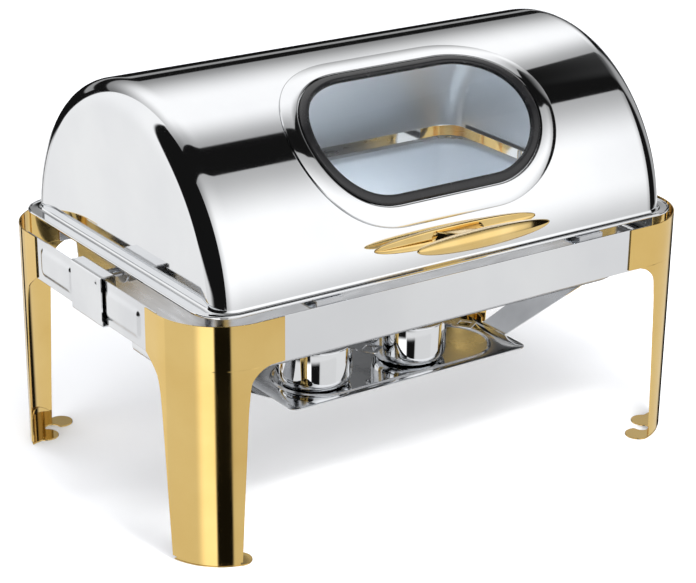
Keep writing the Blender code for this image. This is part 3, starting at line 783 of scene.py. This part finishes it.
def buildBand(name, outer, profile, finish, angle=32):
    # a closed band round the window, from insets and heights above the drum
    rings = [
        ovalRing(outer[0] - insetX, outer[1] - insetArc, lid["Radius"] + rise)
        for insetX, insetArc, rise in profile
    ]
    finishPiece(objectOf(name, loft(rings, looped=True)), "lid", [name.lower()], finish, angle=angle)


frameProfile = [
    (0, 0, 0.0005), (0, 0, 0.0012), (0.0002, 0.0002, 0.0017), (0.0006, 0.0006, 0.0021), (0.0012, 0.0012, 0.0023),
    (0.0160, 0.0200, 0.0023), (0.0168, 0.0208, 0.0021), (0.0173, 0.0213, 0.0017), (0.0175, 0.0215, 0.0011),
    (0.0175, 0.0215, 0.0005),
]
gasketProfile = [
    (0, -0.0028), (0, 0.0014), (0.0004, 0.0024), (0.0014, 0.0031), (0.0030, 0.0033), (0.0070, 0.0033),
    (0.0086, 0.0030), (0.0096, 0.0023), (0.0100, 0.0014), (0.0100, 0.0009), (0.0050, 0.0009), (0.0050, -0.0018),
    (0.0100, -0.0018), (0.0100, -0.0028),
]
retainerProfile = [
    (0, 0, -0.0014), (0.0120, 0.0125, -0.0014), (0.0126, 0.0131, -0.0018), (0.0132, 0.0137, -0.0032),
    (0.0138, 0.0143, -0.0034), (0.0198, 0.0203, -0.0034), (0.0200, 0.0205, -0.0040), (0.0198, 0.0203, -0.0046),
    (0.0117, 0.0117, -0.0046), (0.0110, 0.0110, -0.0040), (0.0105, 0.0105, -0.0028), (0, 0, -0.0028),
]
buildBand("Window_frame", window["frameOuter"], frameProfile, "mirrorSteel")
buildBand("Window_gasket", window["gasketOuter"], [(d, d, rise) for d, rise in gasketProfile], "blackRubber", 50)
buildBand("Window_retainer", window["retainerOuter"], retainerProfile, "brushedSteel", 50)

glass = {"cover": 0.0055, "inner": -0.0014, "outer": 0.0006, "steps": 60}


def buildGlass():
    halfX = window["gasketOuter"][0] - glass["cover"]
    halfArc = window["gasketOuter"][1] - glass["cover"]
    rings = []
    for k in range(glass["steps"] + 1):
        turn = math.radians(-90 + 180 * k / glass["steps"])
        x = halfX - halfArc + halfArc * math.cos(turn)
        along = halfArc * math.sin(turn)
        low, high = lid["Radius"] + glass["inner"], lid["Radius"] + glass["outer"]
        rings.append([onDrum(-x, along, low), onDrum(x, along, low), onDrum(x, along, high), onDrum(-x, along, high)])
    pane = finishPiece(objectOf("Window_glass", loft(rings)), "lid", ["window_glass"], "clearGlass")
    pane.visible_shadow = False  # lets the studio light into the pan


buildGlass()
print("window made")


# Handle: a dished leaf on the lid, a flared neck and a boat-shaped grip.
handle = {
    "leafHalf": 0.098,
    "leafHeight": 0.0095,
    "leafRim": (0.0008, 0.0038),
    "gripHalf": 0.080,
    "gripHeight": 0.0105,
    "gripDepth": 0.0090,
    "deck": 0.74,
    "stations": 34,
    "neck": [  # distance out, half width, half height
        (0.0012, 0.0350, 0.0078), (0.0030, 0.0300, 0.0066), (0.0060, 0.0262, 0.0057), (0.0110, 0.0226, 0.0050),
        (0.0180, 0.0202, 0.0046), (0.0260, 0.0192, 0.0045), (0.0330, 0.0202, 0.0047), (0.0390, 0.0232, 0.0053),
        (0.0435, 0.0280, 0.0060),
    ],
}


def buildHandle():
    leafRings, gripRings = [], []
    count = handle["stations"]
    for k in range(-count, count + 1):
        share = math.sin(math.pi / 2 * k / (count * 1.035))
        fall = math.sqrt(1 - share * share)
        x, high = handle["leafHalf"] * share, handle["leafHeight"] * fall
        rim = handle["leafRim"][0] + handle["leafRim"][1] * fall
        section = [(-high, 0.0005), (-high, 0.45 * rim), (-0.96 * high, 0.80 * rim), (-0.88 * high, 0.97 * rim)]
        section += [(-0.78 * high, rim), (-0.66 * high, 0.92 * rim), (-0.48 * high, 0.72 * rim)]
        section += [(-0.25 * high, 0.55 * rim)]
        section += [(0, 0.50 * rim)] + [(-up, out) for up, out in section[::-1]]
        leafRings.append([handlePoint(x, up, out) for up, out in section])
        x, high, deep = handle["gripHalf"] * share, handle["gripHeight"] * fall, handle["gripDepth"] * fall
        section = []
        for j in range(40):
            turn = 2 * math.pi * j / 40
            up, out = math.cos(turn), math.sin(turn)
            if up > handle["deck"]:
                # flat deck with a slight crown between two creases
                up = handle["deck"] + 0.05 * (up - handle["deck"])
            section.append((high * up, deep * out))
        gripRings.append([handlePoint(x, up, handlePlace["standoff"] + out) for up, out in section])
    neckRings = []
    for out, halfX, halfUp in smoothThrough(handle["neck"], 5):
        shape = roundedRectangle(halfX, halfUp, 0.0034, 6)
        neckRings.append([handlePoint(x, up, out) for x, up in shape])
    whole = gather(loft(gripRings), loft(neckRings), loft(leafRings))
    finishPiece(objectOf("Handle", whole), "lid", ["handle"], "castGold", angle=24)


buildHandle()
print("handle made")


# Fuel tray: a plate with an oval stamped ridge and a hooked wing at each end.
tray = {
    "height": 0.1055,
    "middleY": -0.063,
    "plate": (0.150, 0.056, 0.010),
    "plateY": -0.064,
    "ridgeRise": 0.0017,
    "wing": [  # x, z, first y, last y
        (0.1480, 0.1049, -0.080, -0.040), (0.1520, 0.1049, -0.080, -0.040),
        (0.2972, 0.1870, -0.122, -0.064), (0.2972, 0.2064, -0.122, -0.064),
        (0.3060, 0.2064, -0.122, -0.064),
    ],
}


def buildTray():
    top, sheet, rise = tray["height"], dish["sheet"], tray["ridgeRise"]
    halfX, halfY, corner = tray["plate"]

    def outlineRing(inset, z):
        outline = roundedRectangle(halfX - inset, halfY - inset, corner - inset, 20)
        return [(x, tray["plateY"] + y, z) for x, y in outline]

    def ovalAt(inset, z):
        a, b = 0.1315 - inset, 0.0505 - inset
        return [(x, tray["middleY"] + y, z) for x, y in roundedRectangle(a, b, b - 0.0001, 20)]

    rings = [ovalAt(0.0300, top), ovalAt(0.0046, top)]
    for k in range(9):
        share = k / 8
        rings.append(ovalAt(0.0045 - 0.0045 * share, top + rise * 0.5 * (1 - math.cos(2 * math.pi * share))))
    rings += [ovalAt(-0.0002, top), outlineRing(0.0004, top), outlineRing(0.0001, top - 0.0002)]
    rings += [outlineRing(0, top - 0.0005), outlineRing(0.0001, top - sheet + 0.0003)]
    rings += [outlineRing(0.0004, top - sheet), ovalAt(0.0300, top - sheet)]
    shells = [loft(rings)]
    for sx in sides.values():
        path = roundedCorners(tray["wing"], 0.005, 8)
        wingRings = []
        for k, (x, z, first, last) in enumerate(path):
            ahead = Vector(path[min(k + 1, len(path) - 1)][:2]) - Vector(path[max(k - 1, 0)][:2])
            normal = 0.0005 * Vector((-ahead.y, ahead.x)).normalized()
            low, high = Vector((x, z)) - normal, Vector((x, z)) + normal
            wingRings.append([
                (sx * low.x, first, low.y), (sx * low.x, last, low.y),
                (sx * high.x, last, high.y), (sx * high.x, first, high.y),
            ])
        shells.append(loft(wingRings))
    finishPiece(objectOf("Fuel_tray", gather(*shells)), "tray", ["fuel_tray"], "mirrorSteel", angle=40)


buildTray()
print("tray made")


# Fuel holders, their covers and the rivets the covers turn on.
holder = {
    "x": {"left": -0.090, "right": 0.030},
    "y": -0.068,
    "radius": 0.0395,
    "top": 0.150,
    "ear": (0.1440, 0.1456),
    "hole": 0.0019,
}
cover = {
    "turn": math.radians(-57),
    "reach": 0.0432,
    "radius": 0.0408,
    "low": 0.1506,
    "high": 0.1518,
    "edge": 0.0003,
    "window": [(0.0550, -0.0055), (0.0680, -0.0055), (0.0680, 0.0055), (0.0550, 0.0055)],
    "tab": [(0.050, -0.007), (0.0505, -0.010), (0.072, -0.010), (0.072, 0.010), (0.0505, 0.010), (0.050, 0.007)],
}


def around(side, along, across=0.0):
    # a point by the named holder, along the line from its middle to the finger tab
    c, s = math.cos(cover["turn"]), math.sin(cover["turn"])
    return (holder["x"][side] + along * c - across * s, holder["y"] + along * s + across * c)


def buildHolder(side):
    r, base, top = holder["radius"], tray["height"] + dish["gap"], holder["top"]
    profile = [
        (r - 0.0115, base + 0.0011), (r - 0.0078, base + 0.0014), (r - 0.0050, base + 0.0028),
        (r - 0.0028, base + 0.0050), (r - 0.0016, base + 0.0080), (r - 0.0010, base + 0.0125),
        (r - 0.0010, top - 0.0006), (r - 0.0008, top - 0.0001), (r - 0.0004, top), (r - 0.0001, top - 0.0003),
        (r, top - 0.0008), (r, base + 0.0124), (r - 0.0006, base + 0.0072), (r - 0.0020, base + 0.0040),
        (r - 0.0044, base + 0.0016), (r - 0.0075, base + 0.0003), (r - 0.0112, base),
    ]
    cup = turned((*around(side, 0), 0), (0, 0, 1), profile, 96)
    ear = [(-r + 0.0004, 0.006), *arcPoints((-cover["reach"], 0), 0.0045, 100, 260, 16), (-r + 0.0004, -0.006)]
    obj = objectOf("ear", prism([around(side, u, v) for u, v in ear], "z", *holder["ear"]))
    cutAway(obj, turned((*around(side, -cover["reach"]), 0.140), (0, 0, 1),
                        [(holder["hole"], 0), (holder["hole"], 0.010)], 24))
    earGrid = bmesh.new()
    earGrid.from_mesh(obj.data)
    bpy.data.objects.remove(obj)
    name = f"Fuel_holder_{side}"
    finishPiece(objectOf(name, gather(cup, earGrid)), f"holder_{side}", [name.lower()], "mirrorSteel", angle=40)


def buildCover(side):
    radius, reach = cover["radius"], cover["reach"]
    outline = arcPoints((0, 0), radius, 10, 172, 60)
    outline += arcPoints((-reach, 0), 0.0055, 95, 265, 20)
    outline += arcPoints((0, 0), radius, 188, 350, 60)
    outline += roundedCorners([outline[-1], *cover["tab"], outline[0]], 0.0022, 5)[1:-1]
    name = f"Holder_cover_{side}"
    obj = objectOf(name, prism([around(side, u, v) for u, v in outline], "z", cover["low"], cover["high"]))
    window = roundedCorners(cover["window"], 0.0012, 4, closed=True)
    cutAway(obj, prism([around(side, u, v) for u, v in window], "z", 0.148, 0.155))
    hole = holder["hole"]
    cutAway(obj, turned((*around(side, -reach), 0.148), (0, 0, 1), [(hole, 0), (hole, 0.008)], 24))
    finishPiece(obj, f"cover_{side}", [name.lower()], "mirrorSteel", cover["edge"])


for side in sides:
    buildHolder(side)
    buildCover(side)
print("fuel holders and covers made")


def pinTree():
    # a chamfered head and a shank on every point, turned to the point's own axis
    sizes = {
        "Head Sides": 32, "Head Radius": 0.003, "Head Height": 0.001, "Chamfer": 0.0003,
        "Shank Sides": 32, "Shank Radius": 0.0015, "Shank Start": 0.0, "Shank Length": 0.009,
    }
    tree, given = newTree("headedPins", {**sizes, "Material": None})

    def raised(mesh, height):
        offset = wired(tree, "ShaderNodeCombineXYZ", 0, Z=height)
        return wired(tree, "GeometryNodeTransform", 0, Geometry=mesh, Translation=offset)

    height, chamfer = given["Head Height"], given["Chamfer"]
    straight = mathOf(tree, "SUBTRACT", height, chamfer)
    head = wired(tree, "GeometryNodeMeshCylinder", 0, Vertices=given["Head Sides"],
                 Radius=given["Head Radius"], Depth=straight)
    slim = mathOf(tree, "SUBTRACT", given["Head Radius"], chamfer)
    cap = wired(tree, "GeometryNodeMeshCone", 0, Vertices=given["Head Sides"], Radius_Top=slim,
                Radius_Bottom=given["Head Radius"], Depth=chamfer)
    shank = wired(tree, "GeometryNodeMeshCylinder", 0, Vertices=given["Shank Sides"], Radius=given["Shank Radius"],
                  Depth=given["Shank Length"])
    half = mathOf(tree, "MULTIPLY", given["Shank Length"], -0.5)
    joined = tree.nodes.new("GeometryNodeJoinGeometry")
    for mesh in (raised(head, mathOf(tree, "MULTIPLY", straight, 0.5)), raised(cap, straight),
                 raised(shank, mathOf(tree, "ADD", half, given["Shank Start"]))):
        tree.links.new(mesh, joined.inputs[0])
    axis = wired(tree, "GeometryNodeInputNamedAttribute", 0, {"data_type": "FLOAT_VECTOR"}, Name="axis")
    turn = wired(tree, "FunctionNodeAlignRotationToVector", 0, {"axis": "Z"}, Vector=axis)
    placed = wired(tree, "GeometryNodeInstanceOnPoints", 0, Points=given["Geometry"],
                   Instance=joined.outputs[0], Rotation=turn)
    closeTree(tree, placed, given["Material"])
    return tree


pins = pinTree()


def buildPins(name, points, axes, body, nodes, sizes, finish="brushedSteel"):
    start = bpy.data.meshes.new(name)
    start.from_pydata([tuple(point) for point in points], [], [])
    axis = start.attributes.new("axis", "FLOAT_VECTOR", "POINT")
    for k, direction in enumerate(axes):
        axis.data[k].vector = direction
    obj = runTree(pins, name, {**sizes, "Material": materials[finish]}, start)
    finishPiece(obj, body, nodes, finish, angle=35)


screw = {"Head Sides": 32, "Head Radius": 0.0045, "Head Height": 0.0022, "Chamfer": 0.0008,
         "Shank Sides": 24, "Shank Radius": 0.0020, "Shank Start": 0.0, "Shank Length": 0.0134}
rivetFoot = {"Head Sides": 32, "Head Radius": 0.0030, "Head Height": 0.0010, "Chamfer": 0.0004,
             "Shank Sides": 24, "Shank Radius": 0.0015, "Shank Start": 0.0, "Shank Length": 0.0087}
rivetHead = {"Head Sides": 32, "Head Radius": 0.0030, "Head Height": 0.0010, "Chamfer": 0.0004,
             "Shank Sides": 24, "Shank Radius": 0.0012, "Shank Start": 0.0, "Shank Length": 0.0010}
hingePin = {"Head Sides": 40, "Head Radius": 0.0045, "Head Height": 0.0215, "Chamfer": 0.0006,
            "Shank Sides": 40, "Shank Radius": 0.0030, "Shank Start": 0.0310, "Shank Length": 0.0485}
hingeNut = {"Head Sides": 6, "Head Radius": 0.0058, "Head Height": 0.0050, "Chamfer": 0.0006,
            "Shank Sides": 32, "Shank Radius": 0.0036, "Shank Start": 0.0053, "Shank Length": 0.0052}

inward = -handlePoint(0, 0, 1, origin=False)
buildPins("Handle_screws", [handlePoint(sx * handlePlace["screwX"], 0, -0.0014) for sx in sides.values()],
          [inward, inward], "lid", ["handle_screw_left", "handle_screw_right"], screw)
for side in sides:
    x, y = around(side, -cover["reach"])
    body, nodes = f"holder_{side}", [f"cover_rivet_{side}"]
    buildPins(f"Rivet_foot_{side}", [(x, y, 0.1436)], [(0, 0, -1)], body, nodes, rivetFoot)
    buildPins(f"Rivet_head_{side}", [(x, y, 0.1523)], [(0, 0, 1)], body, nodes, rivetHead)
ends = [(-1, 0, 0), (1, 0, 0)]
buildPins("Hinge_pins", [(-0.2735, 0, dish["pivotHeight"]), (0.2735, 0, dish["pivotHeight"])], ends, "stand",
          ["hinge_pin_left", "hinge_pin_right"], hingePin)
buildPins("Hinge_nuts", [(-0.2975, 0, dish["pivotHeight"]), (0.2975, 0, dish["pivotHeight"])], ends, "stand",
          ["hinge_nut_left", "hinge_nut_right"], hingeNut)

hingePlate = {
    "edge": 0.0003,
    "near": 0.2705,
    "far": 0.2725,
    "radius": 0.012,
    "topHalf": 0.018,
    "top": 0.298,
    "hole": 0.0033,
}


def buildHingePlate(name, sx):
    outline = [(-hingePlate["topHalf"], hingePlate["top"]),
               *arcPoints((0, dish["pivotHeight"]), hingePlate["radius"], 180, 360, 40),
               (hingePlate["topHalf"], hingePlate["top"])]
    low, high = sorted((sx * hingePlate["near"], sx * hingePlate["far"]))
    obj = objectOf(name, prism(outline, "x", low, high))
    hole = hingePlate["hole"]
    cutAway(obj, turned((sx * 0.265, 0, dish["pivotHeight"]), (sx, 0, 0), [(hole, 0), (hole, 0.015)], 40))
    finishPiece(obj, "lid", [name.lower()], "brushedSteel", hingePlate["edge"])


for side, sx in sides.items():
    buildHingePlate(f"Hinge_plate_{side}", sx)
print("hinges, screws and rivets made")


# Floor, a dome that only shows in reflections, lights and camera.
def stageMaterial(name, colour, roughness=0.8):
    material = bpy.data.materials.new(name)
    material.use_nodes = True
    surface = material.node_tree.nodes["Principled BSDF"]
    surface.inputs["Base Color"].default_value = (*colour, 1)
    surface.inputs["Roughness"].default_value = roughness
    surface.inputs["Specular IOR Level"].default_value = 0.0
    return material


def stageQuad(name, corners, material):
    mesh = bpy.data.meshes.new(name)
    mesh.from_pydata([tuple(corner) for corner in corners], [], [(0, 1, 2, 3)])
    mesh.materials.append(material)
    obj = bpy.data.objects.new(name, mesh)
    bpy.context.scene.collection.objects.link(obj)
    return obj


studio = {
    "floor": (0.86, 0.86, 0.86),
    "world": (0.93, 0.95, 1.0),
    "worldStrength": 0.85,
    "lights": [  # name, place, aimed at, width, height, power
        ("frontTop", (-0.6, -1.9, 1.9), (0, 0, 0.2), 2.4, 1.3, 34),
        ("back", (0.2, 2.0, 1.8), (0, 0, 0.3), 3.2, 1.2, 30),
        ("right", (2.3, -0.5, 0.9), (0, 0, 0.25), 1.2, 1.6, 16),
        ("left", (-2.3, -0.2, 1.1), (0, 0, 0.25), 1.6, 1.4, 16),
        ("window", (-0.1, -0.75, 1.15), (0, 0.03, 0.185), 0.35, 0.25, 15),
    ],
}
white = stageMaterial("floorWhite", studio["floor"])
floor = stageQuad("Floor", [(-9, -9, 0), (9, -9, 0), (9, 9, 0), (-9, 9, 0)], white)
floor.visible_glossy = False

# What the polished sheet mirrors: soft white panels with dark gaps between them.
# "over" is the angle from overhead towards the back, "spread" how far a direction leans along X,
# "turn" the compass angle from the front and "rise" the height above the horizon, in degrees.
panels = {
    "frontTop": (-22.5, -19.0),
    "backStart": (-4.0, 12.0),
    "leanFrom": (0.58, 0.83),
    "frontSpread": (-0.68, 1.10),
    "backSpread": (-0.47, 1.25),
    "backEnd": 69.0,
    "strip": (77.0, 84.0),
    "leftBack": (-122.0, -0.36),
    "radius": 7.0,
    # turns between which each mark lies: where it comes up and where it dies away
    "rightWall": ((76.0, 86.0), (104.0, 114.0)),
    "darkLeft": ((-108.0, -84.0), (-46.0, -42.0)),
    "thinDark": [((150.0, 152.0), (164.0, 166.0)), ((-177.0, -176.0), (-169.0, -168.0))],
    "glare": ((-74.0, -58.0), (-44.0, -41.0)),
    "dusk": ((-30.0, -20.0), (28.0, 37.0)),
    "gap": ((-43.0, -40.0), (-19.0, -15.0)),
    "gapRight": ((100.0, 112.0), (146.0, 150.0)),
    "black": 0.008,
}


def edgeOf(tree, value, start, end, soft=True):
    kind = {"interpolation_type": "SMOOTHSTEP" if soft else "LINEAR"}
    return wired(tree, "ShaderNodeMapRange", 0, kind, Value=value, From_Min=start, From_Max=end,
                 To_Min=0.0, To_Max=1.0)


def between(tree, value, opening, closing):
    # 1 from the end of the opening pair to the start of the closing pair, soft at both
    return both(tree, edgeOf(tree, value, *opening), without(tree, edgeOf(tree, value, *closing)))


def both(tree, *masks):
    made = masks[0]
    for mask in masks[1:]:
        made = mathOf(tree, "MULTIPLY", made, mask)
    return made


def brightest(tree, *masks):
    made = masks[0]
    for mask in masks[1:]:
        made = mathOf(tree, "MAXIMUM", made, mask)
    return made


def without(tree, mask):
    return mathOf(tree, "SUBTRACT", 1.0, mask)


def blendOf(tree, mask, low, high):
    return mathOf(tree, "ADD", mathOf(tree, "MULTIPLY", mask, high - low), low)


def domeMaterial():
    material = bpy.data.materials.new("studioDome")
    material.use_nodes = True
    tree = material.node_tree
    tree.nodes.clear()
    spot = tree.nodes.new("ShaderNodeSeparateXYZ")
    tree.links.new(tree.nodes.new("ShaderNodeTexCoord").outputs["Object"], spot.inputs[0])
    x, y, z = spot.outputs
    across = mathOf(tree, "SQRT", mathOf(tree, "ADD", mathOf(tree, "MULTIPLY", y, y), mathOf(tree, "MULTIPLY", z, z)))
    spread = mathOf(tree, "DIVIDE", x, mathOf(tree, "MAXIMUM", across, 0.001))
    over = mathOf(tree, "MULTIPLY", mathOf(tree, "ARCTAN2", y, z), math.degrees(1))
    turn = mathOf(tree, "MULTIPLY", mathOf(tree, "ARCTAN2", x, mathOf(tree, "MULTIPLY", y, -1.0)), math.degrees(1))
    level = mathOf(tree, "SQRT", mathOf(tree, "ADD", mathOf(tree, "MULTIPLY", x, x), mathOf(tree, "MULTIPLY", y, y)))
    rise = mathOf(tree, "MULTIPLY", mathOf(tree, "ARCTAN2", z, level), math.degrees(1))
    lean = edgeOf(tree, spread, *panels["leanFrom"], soft=False)
    # front panel: hard top edge, grey there and whiter below
    frontTop = blendOf(tree, lean, *panels["frontTop"])
    belowTop = mathOf(tree, "SUBTRACT", frontTop, over)
    low, high = panels["frontSpread"]
    front = both(
        tree, edgeOf(tree, belowTop, 0.0, 0.6),
        edgeOf(tree, spread, low, low + 0.03), without(tree, edgeOf(tree, spread, high - 0.05, high)),
        blendOf(tree, edgeOf(tree, belowTop, 0.0, 34.0), 0.52, 1.28),
        blendOf(tree, edgeOf(tree, spread, low, low + 0.55), 0.62, 1.0),
        blendOf(tree, without(tree, edgeOf(tree, spread, high - 0.35, high)), 0.60, 1.0),
        blendOf(tree, without(tree, edgeOf(tree, belowTop, 58.0, 84.0)), 0.62, 1.0),
    )
    # back panel: grey at both ends, white between
    start = blendOf(tree, lean, *panels["backStart"])
    past = mathOf(tree, "SUBTRACT", over, start)
    low, high = panels["backSpread"]
    back = both(
        tree, edgeOf(tree, past, 0.0, 0.6),
        without(tree, edgeOf(tree, over, panels["backEnd"] - 1.5, panels["backEnd"])),
        edgeOf(tree, spread, low, low + 0.03), without(tree, edgeOf(tree, spread, high - 0.04, high)),
        blendOf(tree, edgeOf(tree, past, 0.0, 22.0), 0.45, 1.22),
        blendOf(tree, without(tree, edgeOf(tree, over, 34.0, panels["backEnd"])), 0.25, 1.0),
        blendOf(tree, edgeOf(tree, spread, low, low + 0.55), 0.55, 1.0),
        blendOf(tree, without(tree, edgeOf(tree, spread, high - 0.35, high)), 0.55, 1.0),
    )
    # thin grey strip low behind, between two dark lines
    first, last = panels["strip"]
    strip = both(
        tree, between(tree, over, (first, first + 1.5), (last - 1.5, last)),
        edgeOf(tree, spread, -0.20, -0.18), blendOf(tree, rise, 0.34, 0.34),
    )
    # white wall behind on the left, which the left end of the dish mirrors
    wallTurn, wallSpread = panels["leftBack"]
    leftBack = both(
        tree, without(tree, edgeOf(tree, turn, wallTurn - 3.0, wallTurn)),
        without(tree, edgeOf(tree, spread, wallSpread - 0.03, wallSpread)),
        blendOf(tree, edgeOf(tree, rise, -40.0, 30.0), 0.92, 1.12),
    )
    # grey wall on the right
    rightWall = both(
        tree, between(tree, turn, *panels["rightWall"]),
        without(tree, edgeOf(tree, rise, 30.0, 55.0)), blendOf(tree, rise, 0.42, 0.42),
    )
    # pale floor, with a dark gap in front on the left and two thin dark lines behind
    darkLeft = both(tree, between(tree, turn, *panels["darkLeft"]), edgeOf(tree, rise, -17.0, -14.0))
    behind = edgeOf(tree, rise, -34.0, -30.0)
    thinDark = [both(tree, between(tree, turn, *line), behind) for line in panels["thinDark"]]
    low = without(tree, edgeOf(tree, rise, -18.0, -14.0))
    glare = both(tree, low, between(tree, turn, *panels["glare"]))
    dusk = both(tree, low, between(tree, turn, *panels["dusk"]))
    ground = both(
        tree, without(tree, edgeOf(tree, rise, -12.0, -9.0)), without(tree, brightest(tree, darkLeft, *thinDark)),
        blendOf(tree, edgeOf(tree, rise, -60.0, -12.0), 0.80, 0.86), blendOf(tree, glare, 1.0, 1.75),
        blendOf(tree, dusk, 1.0, 0.55),
    )
    # dark gaps low in front and on the right, which stand as stripes on the round corners of the legs
    gap = both(tree, between(tree, turn, *panels["gap"]), low, edgeOf(tree, rise, -40.0, -36.0))
    gapRight = both(tree, between(tree, turn, *panels["gapRight"]), low)
    glow = tree.nodes.new("ShaderNodeEmission")
    glow.inputs["Color"].default_value = (1.0, 1.0, 1.0, 1)
    glows = brightest(tree, front, back, strip, leftBack, rightWall, ground)
    lit = both(tree, glows, without(tree, brightest(tree, gap, gapRight)))
    value = mathOf(tree, "MAXIMUM", lit, panels["black"])
    tree.links.new(value, glow.inputs["Strength"])
    out = tree.nodes.new("ShaderNodeOutputMaterial")
    tree.links.new(glow.outputs[0], out.inputs["Surface"])
    return material


def buildDome():
    grid = bmesh.new()
    bmesh.ops.create_icosphere(grid, subdivisions=5, radius=panels["radius"])
    mesh = bpy.data.meshes.new("Studio_dome")
    grid.to_mesh(mesh)
    grid.free()
    mesh.materials.append(domeMaterial())
    dome = bpy.data.objects.new("Studio_dome", mesh)
    bpy.context.scene.collection.objects.link(dome)
    dome.visible_camera = False
    dome.visible_diffuse = False
    dome.visible_shadow = False
    dome.visible_transmission = False


buildDome()

world = bpy.data.worlds.new("studioWorld")
bpy.context.scene.world = world
world.use_nodes = True
background = world.node_tree.nodes["Background"]
background.inputs["Color"].default_value = (*studio["world"], 1)
background.inputs["Strength"].default_value = studio["worldStrength"]

for name, place, aim, width, height, power in studio["lights"]:
    light = bpy.data.lights.new(name, "AREA")
    light.shape = "RECTANGLE"
    light.size, light.size_y, light.energy = width, height, power
    lamp = bpy.data.objects.new(name, light)
    lamp.location = place
    lamp.rotation_euler = (Vector(aim) - Vector(place)).to_track_quat("-Z", "Y").to_euler()
    lamp.visible_glossy = False
    bpy.context.scene.collection.objects.link(lamp)

camera = {"azimuth": -34.354, "elevation": 23.349, "roll": 0.465, "distance": 2.2471,
          "target": (-0.0152, 0.016493, 0.0924), "lens": 108.13, "shift": (0.0161, 0.0895)}


def buildCamera():
    azimuth, elevation, roll = (math.radians(camera[key]) for key in ("azimuth", "elevation", "roll"))
    flat = math.cos(elevation)
    back = Vector((math.sin(azimuth) * flat, -math.cos(azimuth) * flat, math.sin(elevation)))
    level = (-back).cross(Vector((0, 0, 1))).normalized()
    up = level.cross(-back)
    right = level * math.cos(roll) + up * math.sin(roll)
    above = up * math.cos(roll) - level * math.sin(roll)
    lens = bpy.data.cameras.new("Camera")
    lens.sensor_width = 36
    lens.lens = camera["lens"]
    lens.shift_x, lens.shift_y = camera["shift"]
    obj = bpy.data.objects.new("Camera", lens)
    spin = Matrix((right, above, back)).transposed().to_4x4()
    obj.matrix_world = Matrix.Translation(Vector(camera["target"]) + camera["distance"] * back) @ spin
    bpy.context.scene.collection.objects.link(obj)
    bpy.context.scene.camera = obj


buildCamera()
bpy.context.scene.view_settings.view_transform = "Standard"
